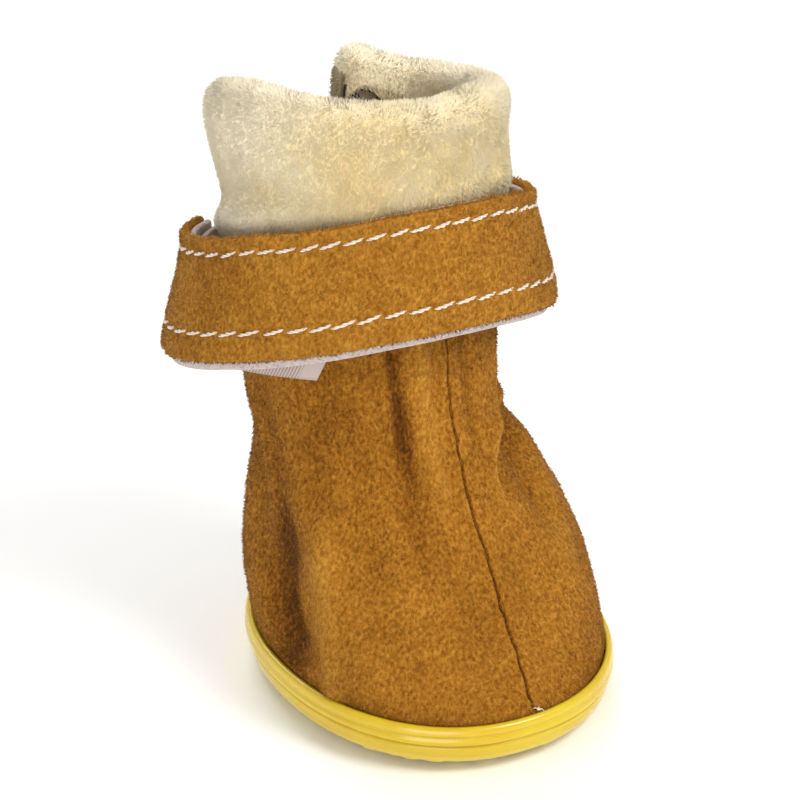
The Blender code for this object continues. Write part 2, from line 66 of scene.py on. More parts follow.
camera = bpy.data.objects.new("camera", bpy.data.cameras.new("camera"))
scene.collection.objects.link(camera)
scene.camera = camera
sight = Vector((
    -math.sin(CAMERA_TURN) * math.cos(CAMERA_RISE),
    -math.cos(CAMERA_TURN) * math.cos(CAMERA_RISE),
    math.sin(CAMERA_RISE),
))
camera.location = AIM + sight * CAMERA_DISTANCE
camera.rotation_euler = sight.to_track_quat("Z", "Y").to_euler()
camera.data.sensor_width = 36
camera.data.lens = 36 * CAMERA_DISTANCE / FRAME_WIDTH
camera.data.clip_start = 0.05
print("lens:", round(camera.data.lens), "mm")

# %% [markdown]
# The floor could be a curved sheet of paper, as in a studio. The camera sees no horizon here, so one large pale
# square is enough. It isn't part of the boot. Area lamps stand in for softboxes: one high at the right, a wide one
# low at the left and one behind, so no side falls into black.

# %% Lay the floor and hang the lamps
FLOOR_SIZE = 3.0


def add_lamp(name, place, size, power, colour):
    """A square soft lamp that faces the boot."""
    lamp = bpy.data.objects.new(name, bpy.data.lights.new(name, "AREA"))
    lamp.data.shape = "SQUARE"
    lamp.data.size = size
    lamp.data.energy = power
    lamp.data.color = colour
    lamp.location = place
    lamp.rotation_euler = (Vector(place) - AIM).to_track_quat("Z", "Y").to_euler()
    scene.collection.objects.link(lamp)


floor_mesh = bpy.data.meshes.new("floor")
corner = FLOOR_SIZE / 2
floor_mesh.from_pydata(
    [(-corner, -corner, 0), (corner, -corner, 0), (corner, corner, 0), (-corner, corner, 0)], [], [(0, 1, 2, 3)]
)
floor = bpy.data.objects.new("floor", floor_mesh)
scene.collection.objects.link(floor)
floor_paint = bpy.data.materials.new("floor_paint")
floor_paint.use_nodes = True
floor_paint.node_tree.nodes["Principled BSDF"].inputs["Base Color"].default_value = (0.93, 0.93, 0.92, 1)
floor_paint.node_tree.nodes["Principled BSDF"].inputs["Roughness"].default_value = 0.9
floor_mesh.materials.append(floor_paint)

add_lamp("key_lamp", (0.22, -0.42, 0.58), 0.28, 3.3, (1.0, 0.98, 0.95))
add_lamp("fill_lamp", (-0.50, -0.54, 0.16), 0.50, 2.6, (1.0, 0.99, 0.97))
add_lamp("rear_lamp", (0.05, 0.50, 0.62), 0.45, 3.0, (1.0, 1.0, 1.0))
world = bpy.data.worlds.new("studio")
world.use_nodes = True
world.node_tree.nodes["Background"].inputs["Color"].default_value = (1, 1, 1, 1)
world.node_tree.nodes["Background"].inputs["Strength"].default_value = 0.62
scene.world = world
scene.view_settings.view_transform = "Standard"

# %% [markdown]
# ## The last
#
# A shoemaker builds a boot round a last, a solid form of the foot. Here the last is a table of level sections,
# from the welt at the rim of the sole up to the collar. A point on it is found by an angle round the leg, counted
# from the toe, and by a level, which is the number of the section. A smooth curve runs through the columns.

# %% Sizes of the boot
SOLE_LENGTH = 0.050
SOLE_WIDTH = 0.0415
SOLE_FLOOR = 0.0022
RIM_HEIGHT = 0.0067
RIM_WALL = 0.0010
NUB_HEIGHT = 0.0008
BOOT_HEIGHT = 0.079
CREASE_DEPTH = 0.0016
CLEARANCE = 0.0003
GUSSET_WIDTH = 0.0092
CUFF_BASE = 0.0570
FLAP_FLARE = 0.0120

FOOT_HALF_LENGTH = SOLE_LENGTH / 2 - RIM_WALL - CLEARANCE
FOOT_HALF_WIDTH = SOLE_WIDTH / 2 - RIM_WALL - CLEARANCE
SHAFT_RISE = BOOT_HEIGHT - RIM_HEIGHT
CUP_FLOOR = NUB_HEIGHT + SOLE_FLOOR

# front_up, back_up, toe, heel, width, shift, fullness, slot
SECTIONS = np.array([
    (0.000, 0.000, 1.000, 1.000, 1.000, 0.000, 2.15, 1.00),
    (0.025, 0.025, 0.945, 1.000, 1.012, 0.000, 2.22, 1.00),
    (0.100, 0.090, 0.765, 0.995, 1.020, 0.000, 2.36, 0.98),
    (0.177, 0.153, 0.595, 0.990, 0.990, -0.005, 2.30, 0.96),
    (0.283, 0.238, 0.370, 1.000, 0.900, -0.030, 2.20, 0.93),
    (0.383, 0.315, 0.213, 1.020, 0.800, -0.065, 2.10, 0.88),
    (0.491, 0.385, 0.125, 1.045, 0.805, -0.078, 2.05, 0.80),
    (0.613, 0.462, 0.056, 1.055, 0.795, -0.070, 2.00, 0.72),
    (0.723, 0.565, 0.030, 1.050, 0.775, -0.055, 2.00, 0.68),
    (0.827, 0.670, 0.028, 1.040, 0.762, -0.042, 2.00, 0.72),
    (0.914, 0.806, 0.030, 1.005, 0.762, -0.038, 2.00, 0.90),
    (1.000, 0.945, 0.040, 0.965, 0.768, -0.034, 2.00, 1.15),
])
COLUMNS = ("front_up", "back_up", "toe", "heel", "width", "shift", "fullness", "slot")
TOP_LEVEL = len(SECTIONS) - 1
print("sections of the last:", len(SECTIONS))

# %% [markdown]
# A table has few rows, so that it is easy to read and to change. Straight lines between its rows would show as
# bands on the boot, so the values are read on a curve that passes through each of them with an even slope.

# %% Read a table on a smooth curve


def ease(value):
    """A soft step from 0 to 1."""
    t = np.clip(value, 0.0, 1.0)
    return t * t * (3 - 2 * t)


def curve_through(values, index):
    """The value at a fractional index of a list, on a Catmull-Rom curve through the list."""
    values = np.asarray(values, float)
    last = len(values) - 1
    low = np.clip(np.floor(index).astype(int), 0, last - 1)
    t = index - low
    before, start, end, after = (values[np.clip(low + k, 0, last)] for k in (-1, 0, 1, 2))
    slope0, slope1, rise = (end - before) / 2, (after - start) / 2, end - start
    return start + t * (slope0 + t * (3 * rise - 2 * slope0 - slope1 + t * (slope0 + slope1 - 2 * rise)))


def section(name, level):
    """A column of the last's table at these levels."""
    return curve_through(SECTIONS[:, COLUMNS.index(name)], np.clip(level, 0, TOP_LEVEL))


def by_angle(table, degrees):
    """All columns of a table whose first column is a sorted angle, at these angles."""
    table = np.asarray(table, float)
    index = np.interp(degrees, table[:, 0], np.arange(len(table)))
    return [curve_through(table[:, k], index) for k in range(1, table.shape[1])]


fine_levels = np.linspace(0, TOP_LEVEL, 4001)
fine_heights = RIM_HEIGHT + section("front_up", fine_levels) * SHAFT_RISE


def level_at_height(height):
    """The level whose section has its front at this height."""
    return np.interp(height, fine_heights, fine_levels)


print("the cuff starts at level", round(float(level_at_height(CUFF_BASE)), 2))

# %% [markdown]
# The collar of the real boot is open at the back, and its two flaps lean apart. A second table says how far
# each part of the top edge has moved from the plain shaft. A third lists the creases of the suede: each is a soft
# trough between two points, deep in the middle and fading out at its sides.

# %% Lean the collar and crease the suede
# angle, side, back, up
LEANS = [
    (-180, -1.26, 0.04, -0.16),
    (-159, -1.08, -0.06, -0.04),
    (-135, -0.70, -0.26, 0.14),
    (-110, -0.25, -0.29, 0.22),
    (-80, 0.08, -0.26, 0.17),
    (-40, 0.14, -0.18, 0.03),
    (0, 0.06, -0.09, -0.06),
    (40, 0.00, -0.10, -0.08),
    (60, -0.08, -0.08, -0.14),
    (80, -0.16, -0.03, -0.20),
    (100, -0.22, 0.00, -0.24),
    (120, -0.31, -0.04, -0.18),
    (135, -0.42, -0.12, -0.01),
    (150, -0.50, -0.23, 0.18),
    (162, -0.57, -0.32, 0.12),
    (180, -0.62, -0.42, 0.20),
]
# start angle, start level, end angle, end level, depth, reach
CREASES = [
    (-112, 4.6, -80, 1.6, 1.00, 20),
    (62, 5.6, 42, 3.9, 1.05, 12),
    (-30, 7.2, -24, 4.6, 0.55, 9),
    (-60, 3.4, -50, 1.6, -0.45, 14),
    (128, 5.2, 118, 2.6, 0.55, 18),
]
LEAN_START = float(level_at_height(CUFF_BASE))


def lean_at(degrees, level):
    """How far the open collar has moved from the plain shaft."""
    grown = np.clip((level - LEAN_START) / (TOP_LEVEL - LEAN_START), 0, 1)
    return np.stack(by_angle(LEANS, degrees), -1) * (FLAP_FLARE * grown)[..., None]


def troughs(table, degrees, level):
    """The summed depth of a table of troughs."""
    depth = np.zeros(np.broadcast(degrees, level).shape)
    for angle0, level0, angle1, level1, share, reach in table:
        run = np.array((angle1 - angle0, (level1 - level0) * reach))
        here_a, here_l = degrees - angle0, (level - level0) * reach
        t = np.clip((here_a * run[0] + here_l * run[1]) / run.dot(run), 0, 1)
        away = np.hypot(here_a - run[0] * t, here_l - run[1] * t) / reach
        depth += share * (1 - ease(away))
    return depth


print("creases:", len(CREASES))

# %% [markdown]
# Every piece is placed by the same three questions: where is the last at this angle and level, which way is
# outward there, and where does the back slot begin. Each section is an oval, a little fuller than an ellipse, and
# it tilts with the shaft.

# %% Find points on the last
# steps that measure the surface's direction: degrees round the leg, and levels up it
TURN_STEP = 1.5
CLIMB_STEP = 0.06


def oval_radius(half_length, half_width, fullness, angle):
    """Distance from the middle of a full oval to its edge, angle measured from the toe."""
    lengthways = np.abs(np.cos(angle)) / half_length
    sideways = np.abs(np.sin(angle)) / half_width
    return (lengthways**fullness + sideways**fullness) ** (-1 / fullness)


def shaft_ends(level):
    """The front and the back of the section at these levels, as y and z, and half the length between them."""
    front_y, back_y = -section("toe", level) * FOOT_HALF_LENGTH, section("heel", level) * FOOT_HALF_LENGTH
    front_z = RIM_HEIGHT + section("front_up", level) * SHAFT_RISE
    back_z = RIM_HEIGHT + section("back_up", level) * SHAFT_RISE
    return front_y, front_z, back_y, back_z, np.hypot(back_y - front_y, back_z - front_z) / 2


def bare_last(degrees, level):
    """Points on the last, before creases. Level -1 is the foot of the wall, inside the sole."""
    degrees, level = np.broadcast_arrays(np.asarray(degrees, float), np.asarray(level, float))
    front_y, front_z, back_y, back_z, half_length = shaft_ends(level)
    angle = np.radians(degrees)
    half_width = section("width", level) * FOOT_HALF_WIDTH
    radius = oval_radius(half_length, half_width, section("fullness", level), angle)
    along = radius * np.cos(angle) / half_length
    x = section("shift", level) * FOOT_HALF_WIDTH + radius * np.sin(angle)
    y = (front_y + back_y) / 2 + (front_y - back_y) / 2 * along
    z = (front_z + back_z) / 2 + (front_z - back_z) / 2 * along
    z = z + np.minimum(level, 0) * (z - CUP_FLOOR - CLEARANCE)
    return np.stack((x, y, z), -1) + lean_at(degrees, level)


def unit(vectors):
    """The same directions, each one metre long."""
    return vectors / np.maximum(np.linalg.norm(vectors, axis=-1, keepdims=True), 1e-12)


def outward(degrees, level):
    """The outward direction of the last's surface."""
    degrees, level = np.broadcast_arrays(np.asarray(degrees, float), np.asarray(level, float))
    above, below = np.minimum(level + CLIMB_STEP, TOP_LEVEL), np.maximum(level - CLIMB_STEP, 0)
    round_leg = bare_last(degrees + TURN_STEP, level) - bare_last(degrees - TURN_STEP, level)
    up_leg = bare_last(degrees, above) - bare_last(degrees, below)
    up_leg = np.where((level <= 0)[..., None], np.array((0, 0, 1.0)), up_leg)
    return unit(np.cross(round_leg, up_leg))


def on_boot(degrees, level, out=0.0):
    """Points on the suede's outer face, or out metres outside it."""
    reach = np.asarray(out) - troughs(CREASES, degrees, level) * CREASE_DEPTH
    return bare_last(degrees, level) + outward(degrees, level) * np.asarray(reach)[..., None]


def slot_half_width(level):
    """Half the width of the back slot at these levels."""
    return section("slot", level) * GUSSET_WIDTH / 2


def slot_angle(level):
    """Degrees from the toe to the suede's edge beside the back slot."""
    return 180 - np.degrees(np.arcsin(slot_half_width(level) / shaft_ends(level)[4]))


print("height of the collar:", round(float(bare_last(0, TOP_LEVEL)[2]) / MM, 1), "mm")

# %% [markdown]
# ## Tools for cloth
#
# Soft pieces are never quite even. A soft noise at points in space gives lumps in the cloth and clumps in the
# pile. Blender has its own noise, but this one works on whole lists of points at once and is the same each time.

# %% Soft noise in space


def lattice(ix, iy, iz, seed):
    """A fixed random number from 0 to 1 for each cell corner."""
    mixed = (ix * 374761393 + iy * 668265263 + iz * 1440662683 + seed * 1274126177) & 0xFFFFFFFF
    mixed = ((mixed ^ (mixed >> 13)) * 1274126177) & 0xFFFFFFFF
    return ((mixed ^ (mixed >> 16)) & 0xFFFFFF) / 0xFFFFFF


def soft_noise(points, size, seed):
    """Smooth noise from -1 to 1 with lumps of this size in metres."""
    cells = np.asarray(points) / size
    corner_cell = np.floor(cells).astype(np.int64)
    part = ease(cells - corner_cell)
    total = 0.0
    for dx in (0, 1):
        for dy in (0, 1):
            for dz in (0, 1):
                weight = np.abs(1 - dx - part[..., 0]) * np.abs(1 - dy - part[..., 1])
                weight = weight * np.abs(1 - dz - part[..., 2])
                total = total + weight * lattice(
                    corner_cell[..., 0] + dx, corner_cell[..., 1] + dy, corner_cell[..., 2] + dz, seed
                )
    return total * 2 - 1


print("noise at the origin:", round(float(soft_noise(np.zeros(3), MM, 1)), 3))

# %% [markdown]
# Each piece starts as a grid of points, one row above the other. Modifiers could give a sheet its thickness, but
# they know nothing of the last, so both faces are computed and joined here. A sheet with two faces becomes a thin
# solid, and a stack of closed loops becomes a tube. Both are closed, so the piece has an inside and an outside.

# %% Finish a mesh


def finish_piece(name, points, faces, material, values=None):
    """A mesh object that rides on the boot, with its material and any named value at each point."""
    mesh = bpy.data.meshes.new(name)
    mesh.from_pydata(np.asarray(points).reshape(-1, 3).tolist(), [], faces)
    for label, numbers in (values or {}).items():
        attribute = mesh.attributes.new(label, "FLOAT", "POINT")
        attribute.data.foreach_set("value", np.asarray(numbers, np.float32).ravel())
    mesh.shade_smooth()
    mesh.materials.append(material)
    piece = bpy.data.objects.new(name, mesh)
    scene.collection.objects.link(piece)
    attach(piece, "root")
    print(name, "faces:", len(mesh.polygons))
    return piece


def facing_out(points, faces):
    """The faces in the order that gives the closed body a positive volume."""
    flat = np.asarray(points).reshape(-1, 3)
    volume = 0.0
    for face in faces:
        a = flat[face[0]]
        for k in range(1, len(face) - 1):
            volume += a.dot(np.cross(flat[face[k]], flat[face[k + 1]]))
    return faces if volume > 0 else [tuple(reversed(face)) for face in faces]


print("a face order is turned if the volume is negative:", facing_out(np.eye(3), [(0, 2, 1)]))

# %% Join grids of points into closed solids


def grid_faces(rows, columns, start=0, wrap=False):
    """Quads between neighbouring rows of a grid; wrap also joins its last column to its first."""
    faces = []
    for r in range(rows - 1):
        for c in range(columns if wrap else columns - 1):
            after = (c + 1) % columns
            low, high = start + r * columns, start + (r + 1) * columns
            faces.append((low + c, low + after, high + after, high + c))
    return faces


def thin_solid(name, outer, inner, material, values=None):
    """A closed solid between two grids of points."""
    rows, columns = outer.shape[:2]
    back = rows * columns
    faces = grid_faces(rows, columns) + [tuple(reversed(f)) for f in grid_faces(rows, columns, back)]
    rim = list(range(columns)) + [(r + 1) * columns - 1 for r in range(1, rows)]
    rim += [(rows - 1) * columns + c for c in range(columns - 2, -1, -1)]
    rim += [r * columns for r in range(rows - 2, 0, -1)]
    for here, after in zip(rim, rim[1:] + rim[:1]):
        faces.append((after, here, here + back, after + back))
    points = np.concatenate((outer.reshape(-1, 3), inner.reshape(-1, 3)))
    if values:
        values = {label: np.concatenate((np.ravel(v), np.ravel(v))) for label, v in values.items()}
    return finish_piece(name, points, facing_out(points, faces), material, values)


def tube_solid(name, loops, material, values=None):
    """A closed solid through closed loops of points, flat at both ends."""
    rows, columns = loops.shape[:2]
    faces = grid_faces(rows, columns, wrap=True)
    faces += [tuple(range(columns - 1, -1, -1)), tuple((rows - 1) * columns + c for c in range(columns))]
    return finish_piece(name, loops, facing_out(loops, faces), material, values)


print("quads in a grid of 3 by 4 points:", len(grid_faces(3, 4)))

# %% [markdown]
# Suede and plush end in short fibres. Blender's hair would show them, but it isn't a mesh, and this boot is also
# used as a mesh. So each fibre is a thin spike with three faces. It is shaded like the surface that it grows from,
# so that many spikes read as one soft pile.

# %% Plant fibres


def plant_fibres(name, roots, normals, lengths, lean, width, tones, material, seed, stray=0.22):
    """Short three-sided spikes in one mesh, shaded like the surface that they grow from.

    lean is the sideways push at each tip, in metres, tones goes to the material as a shade from 0 to 1, and
    stray turns the shading of single fibres a little.
    """
    rng = np.random.default_rng(seed)
    count = len(roots)
    tips = roots + normals * lengths[:, None] + lean
    axis = unit(tips - roots)
    side = unit(np.cross(axis, rng.normal(size=(count, 3))))
    other = np.cross(axis, side)
    points = np.empty((count, 4, 3))
    for k in range(3):
        turn = math.tau * k / 3
        points[:, k] = roots + (side * math.cos(turn) + other * math.sin(turn)) * (width / 2)
    points[:, 3] = tips
    base = np.arange(count)[:, None, None] * 4
    faces = (base + np.array(((0, 1, 3), (1, 2, 3), (2, 0, 3)))).reshape(-1, 3).tolist()
    reach = np.tile((0.0, 0.0, 0.0, 1.0), count)
    piece = finish_piece(name, points, faces, material, {"reach": reach, "tone": np.repeat(tones, 4)})
    shaded = unit(normals + rng.normal(scale=stray, size=normals.shape))
    piece.data.normals_split_custom_set_from_vertices(np.repeat(shaded, 4, axis=0).tolist())
    return piece


print("a fibre has 3 faces")

# %% [markdown]
# ## Materials
#
# Every finish is mixed from nodes, with noise in the object's own space, so it stays on the surface from any side.
# A painted image would need unwrapped pieces and would blur close up. A few helpers add one node each and link it.

# %% Node helpers


def new_material(name, roughness, sheen=0.0, sheen_tint=(1, 1, 1), shine=0.5):
    """A material with its tree and its shader; constant values sit on the shader's own sockets."""
    material = bpy.data.materials.new(name)
    material.use_nodes = True
    tree = material.node_tree
    shader = tree.nodes["Principled BSDF"]
    shader.inputs["Roughness"].default_value = roughness
    shader.inputs["Specular IOR Level"].default_value = shine
    shader.inputs["Sheen Weight"].default_value = sheen
    shader.inputs["Sheen Roughness"].default_value = 0.5
    shader.inputs["Sheen Tint"].default_value = (*sheen_tint, 1)
    return material, tree, shader


def noise_node(tree, grain, detail=2.0, stretch=(1, 1, 1)):
    """A noise texture whose lumps measure about grain metres."""
    place = tree.nodes.new("ShaderNodeTexCoord")
    scale = tree.nodes.new("ShaderNodeMapping")
    scale.inputs["Scale"].default_value = stretch
    noise = tree.nodes.new("ShaderNodeTexNoise")
    noise.inputs["Scale"].default_value = 1 / grain
    noise.inputs["Detail"].default_value = detail
    tree.links.new(place.outputs["Object"], scale.inputs["Vector"])
    tree.links.new(scale.outputs["Vector"], noise.inputs["Vector"])
    return noise.outputs["Fac"]


def ramp_node(tree, value, stops):
    """Colours at places from 0 to 1."""
    ramp = tree.nodes.new("ShaderNodeValToRGB")
    elements = ramp.color_ramp.elements
    while len(elements) < len(stops):
        elements.new(0.5)
    for element, (place, colour) in zip(elements, stops):
        element.position = place
        element.color = (*colour, 1)
    tree.links.new(value, ramp.inputs["Fac"])
    return ramp.outputs["Color"]


def mix_node(tree, amount, first, second, mode="MIX"):
    """Two colours mixed by a value or by a fixed amount."""
    mix = tree.nodes.new("ShaderNodeMix")
    mix.data_type = "RGBA"
    mix.blend_type = mode
    factor, first_colour, second_colour = (mix.inputs[k] for k in (0, 6, 7))
    for socket, source in ((factor, amount), (first_colour, first), (second_colour, second)):
        if isinstance(source, bpy.types.NodeSocket):
            tree.links.new(source, socket)
        elif isinstance(source, (int, float)):
            socket.default_value = source
        else:
            socket.default_value = (*source, 1)
    return mix.outputs[2]


def math_node(tree, operation, *sources):
    """One step of arithmetic on values and fixed numbers."""
    node = tree.nodes.new("ShaderNodeMath")
    node.operation = operation
    for socket, source in zip(node.inputs, sources):
        if isinstance(source, bpy.types.NodeSocket):
            tree.links.new(source, socket)
        else:
            socket.default_value = source
    return node.outputs["Value"]


def value_node(tree, label):
    """A named value that the mesh holds at each point."""
    node = tree.nodes.new("ShaderNodeAttribute")
    node.attribute_name = label
    return node.outputs["Fac"]


def bump_node(tree, height, distance, shader, below=None):
    """Relief on the shader, distance metres high; below is the normal of a coarser relief under it."""
    bump = tree.nodes.new("ShaderNodeBump")
    bump.inputs["Distance"].default_value = distance
    bump.inputs["Strength"].default_value = 1.0
    tree.links.new(height, bump.inputs["Height"])
    if below is not None:
        tree.links.new(below, bump.inputs["Normal"])
    tree.links.new(bump.outputs["Normal"], shader.inputs["Normal"])
    return bump.outputs["Normal"]


node_helpers = (noise_node, ramp_node, mix_node, math_node, value_node, bump_node)
print("helpers:", ", ".join(helper.__name__ for helper in node_helpers))

# %% [markdown]
# Suede is leather with a brushed face. Its nap lies in small tufts, light where the tips show and dark between
# them. Shade is painted into it: darker in a deep fold, and lighter, as a painted highlight, on the lit ridge of
# the lap fold. The mesh holds this as a value named hollow. Handling has rubbed the strap lighter, and the strap
# holds this in the same value. The colour runs through four browns by shade, and broad faint blotches lie over it.

# %% Suede
SUEDE_SHADED = (0.080, 0.026, 0.003)
SUEDE_DARK = (0.190, 0.066, 0.005)
SUEDE_TAN = (0.345, 0.138, 0.012)
SUEDE_LIGHT = (0.500, 0.240, 0.034)
# how far the value named hollow moves the suede's tone: painted shade in folds, a painted highlight on the lap
# fold's ridge, and rubbed lighter suede on the strap
SHADE_AND_WEAR_SHIFT = -0.30
STRAP_RUBBED = -0.32


def make_suede(name, is_nap):
    """The finish of the suede's face, or of the fibres on it, whose shade comes from their own tone."""
    material, tree, shader = new_material(name, 0.95, 0.06, (1.0, 0.72, 0.40), 0.12)
    tufts = noise_node(tree, 0.42 * MM, 2.5, (1.0, 1.0, 0.65))
    blotches = noise_node(tree, 7.0 * MM, 2.0)
    if is_nap:
        shade = math_node(tree, "MULTIPLY_ADD", value_node(tree, "reach"), 0.10, value_node(tree, "tone"))
        material.cycles.use_bump_map_correction = False
    else:
        # the value named hollow paints shade into the folds and a highlight onto the lap fold's ridge; on the strap
        # it lightens the rubbed suede
        shade = math_node(tree, "MULTIPLY_ADD", value_node(tree, "hollow"), SHADE_AND_WEAR_SHIFT, tufts)
        rough = bump_node(tree, tufts, 0.35 * MM, shader)
        bump_node(tree, noise_node(tree, 0.22 * MM, 2.0), 0.10 * MM, shader, below=rough)
    stops = [(0.06, SUEDE_SHADED), (0.28, SUEDE_DARK), (0.50, SUEDE_TAN), (0.78, SUEDE_LIGHT)]
    colour = ramp_node(tree, shade, stops)
    worn = ramp_node(tree, blotches, [(0.32, (0.80, 0.76, 0.70)), (0.68, (1.0, 1.0, 1.0))])
    tree.links.new(mix_node(tree, 1.0, colour, worn, "MULTIPLY"), shader.inputs["Base Color"])
    return material


suede = make_suede("suede", False)
suede_nap = make_suede("suede_nap", True)
print("suede:", len(suede.node_tree.nodes), "nodes")

# %% [markdown]
# The plush is a knitted backing with a dense short pile. Its roots are painted yellower, as painted shade, because
# less light gets down to them, and its tips are almost white. The mesh holds a tone at each point: painted high on
# the crown and the flaps as painted light, and low in the hollows between clumps as painted shade. Backing and pile
# take the same colour. The insole's fleece is plush too.

# %% Plush
PLUSH_DEEP = (0.860, 0.640, 0.275)
PLUSH_CREAM = (0.805, 0.660, 0.375)
PLUSH_PALE = (0.965, 0.865, 0.650)


def make_plush(name, is_pile):
    """The finish of the plush backing, or of its pile, which is painted a little paler towards the tips."""
    material, tree, shader = new_material(name, 1.0, 0.25, (1.0, 0.93, 0.72), 0.1)
    tone = value_node(tree, "tone")
    if is_pile:
        # the tips are painted paler than the roots, as painted shade at the roots
        tone = math_node(tree, "MULTIPLY_ADD", value_node(tree, "reach"), 0.16, tone)
        material.cycles.use_bump_map_correction = False
    else:
        bump_node(tree, noise_node(tree, 0.35 * MM, 2.0, (1.0, 1.0, 0.5)), 0.25 * MM, shader)
    colour = ramp_node(tree, tone, [(0.15, PLUSH_DEEP), (0.52, PLUSH_CREAM), (1.00, PLUSH_PALE)])
    tree.links.new(colour, shader.inputs["Base Color"])
    return material


plush = make_plush("plush", False)
plush_pile = make_plush("plush_pile", True)
print("plush:", len(plush.node_tree.nodes), "nodes")

# %% [markdown]
# The sole is soft moulded vinyl: bright yellow, glossy on its sides and nubs, a little see-through at thin edges,
# and frosted between the nubs, where the mould was etched.

# %% Vinyl
VINYL_YELLOW = (0.620, 0.455, 0.006)
VINYL_DEEP = (0.590, 0.395, 0.003)


def make_vinyl():
    """Glossy vinyl that lets a little light through, frosted where the mesh says so."""
    material, tree, shader = new_material("vinyl", 0.3)
    shader.inputs["Subsurface Weight"].default_value = 0.35
    shader.inputs["Subsurface Radius"].default_value = (1.0, 0.75, 0.12)
    shader.inputs["Subsurface Scale"].default_value = 1.2 * MM
    shader.inputs["Coat Weight"].default_value = 0.35
    shader.inputs["Coat Roughness"].default_value = 0.12
    clouds = noise_node(tree, 7.0 * MM, 2.0)
    colour = ramp_node(tree, clouds, [(0.30, VINYL_DEEP), (0.65, VINYL_YELLOW)])
    frost = value_node(tree, "frost")
    colour = mix_node(tree, math_node(tree, "MULTIPLY", frost, 0.30), colour, (0.76, 0.66, 0.20))
    tree.links.new(colour, shader.inputs["Base Color"])
    gloss = math_node(tree, "MULTIPLY_ADD", frost, 0.30, 0.24)
    tree.links.new(gloss, shader.inputs["Roughness"])
    etched = math_node(tree, "MULTIPLY", noise_node(tree, 0.30 * MM, 2.0), frost)
    moulded = bump_node(tree, noise_node(tree, 2.2 * MM, 1.0), 0.10 * MM, shader)
    bump_node(tree, etched, 0.10 * MM, shader, below=moulded)
    return material


vinyl = make_vinyl()
print("vinyl:", len(vinyl.node_tree.nodes), "nodes")

# %% [markdown]
# Gingham is woven from bands of white and navy threads, both ways. Where two navy bands cross the cloth is navy,
# where two white bands cross it is white, and where they differ the threads alternate and it looks mid blue.
# The mesh holds how far each point lies along and across the cloth, in metres, so the checks follow every pleat.

# %% Gingham
CHECK_BAND = 1.85 * MM
THREAD_PITCH = 0.46 * MM
NAVY = (0.030, 0.044, 0.110)
CLOTH_WHITE = (0.700, 0.655, 0.665)


def make_gingham():
    """Checks and single threads, both from the place on the cloth that the mesh holds."""
    material, tree, shader = new_material("gingham", 0.85, 0.15)
    bands = []
    threads = []
    for label in ("across", "along"):
        place = value_node(tree, label)
        share = math_node(tree, "FRACT", math_node(tree, "DIVIDE", place, CHECK_BAND * 2))
        bands.append(math_node(tree, "LESS_THAN", share, 0.5))
        threads.append(math_node(tree, "SINE", math_node(tree, "MULTIPLY", place, math.tau / THREAD_PITCH)))
    over = math_node(tree, "GREATER_THAN", math_node(tree, "MULTIPLY", threads[0], threads[1]), 0.0)
    warp = mix_node(tree, bands[0], CLOTH_WHITE, NAVY)
    weft = mix_node(tree, bands[1], CLOTH_WHITE, NAVY)
    colour = mix_node(tree, over, warp, weft)
    fade = ramp_node(tree, noise_node(tree, 0.5 * MM, 2.0), [(0.2, (0.86, 0.86, 0.88)), (0.8, (1.0, 1.0, 1.0))])
    tree.links.new(mix_node(tree, 1.0, colour, fade, "MULTIPLY"), shader.inputs["Base Color"])
    weave = math_node(tree, "MULTIPLY", threads[0], threads[1])
    bump_node(tree, weave, 0.04 * MM, shader)
    return material


gingham = make_gingham()
print("gingham:", len(gingham.node_tree.nodes), "nodes")

# %% [markdown]
# The strap's lining is brushed white loop cloth, and the hook tape is a ribbed nylon web with fine clear hooks.
# The thread is a thick off-white polyester.

# %% Loop cloth, hook tape and thread


def make_loop_cloth():
    """Brushed off-white cloth with a fuzzy, uneven face."""
    material, tree, shader = new_material("loop_cloth", 0.95, 0.3)
    loops = noise_node(tree, 0.35 * MM, 3.0)
    colour = ramp_node(tree, loops, [(0.25, (0.36, 0.28, 0.25)), (0.60, (0.56, 0.48, 0.46))])
    tree.links.new(colour, shader.inputs["Base Color"])
    bump_node(tree, loops, 0.35 * MM, shader)
    return material


def make_hook_tape_finish():
    """Pale nylon with fine ribs across the tape, which stop just short of its free end."""
    material, tree, shader = new_material("hook_web", 0.55)
    place = value_node(tree, "along")
    ribs = math_node(tree, "SINE", math_node(tree, "MULTIPLY", place, math.tau / (0.30 * MM)))
    ribs = math_node(tree, "MULTIPLY", ribs, value_node(tree, "ribbed"))
    # the ribs' colour is painted shade in their grooves and painted light on their crests
    colour = ramp_node(tree, math_node(tree, "MULTIPLY_ADD", ribs, 0.5, 0.5), [
        (0.0, (0.33, 0.24, 0.21)), (1.0, (0.54, 0.45, 0.42)),
    ])
    tree.links.new(colour, shader.inputs["Base Color"])
    grain = bump_node(tree, noise_node(tree, 0.2 * MM, 2.0), 0.05 * MM, shader)
    bump_node(tree, ribs, 0.06 * MM, shader, below=grain)
    return material


def make_thread():
    """Off-white thread, a little darker in places."""
    material, tree, shader = new_material("thread", 0.7, 0.2)
    stops = [(0.3, (0.62, 0.52, 0.42)), (0.7, (0.78, 0.71, 0.63))]
    colour = ramp_node(tree, noise_node(tree, 0.3 * MM, 2.0), stops)
    tree.links.new(colour, shader.inputs["Base Color"])
    bump_node(tree, noise_node(tree, 0.10 * MM, 2.0), 0.04 * MM, shader)
    return material


loop_cloth = make_loop_cloth()
hook_web = make_hook_tape_finish()
thread = make_thread()
print("small finishes:", loop_cloth.name, hook_web.name, thread.name)

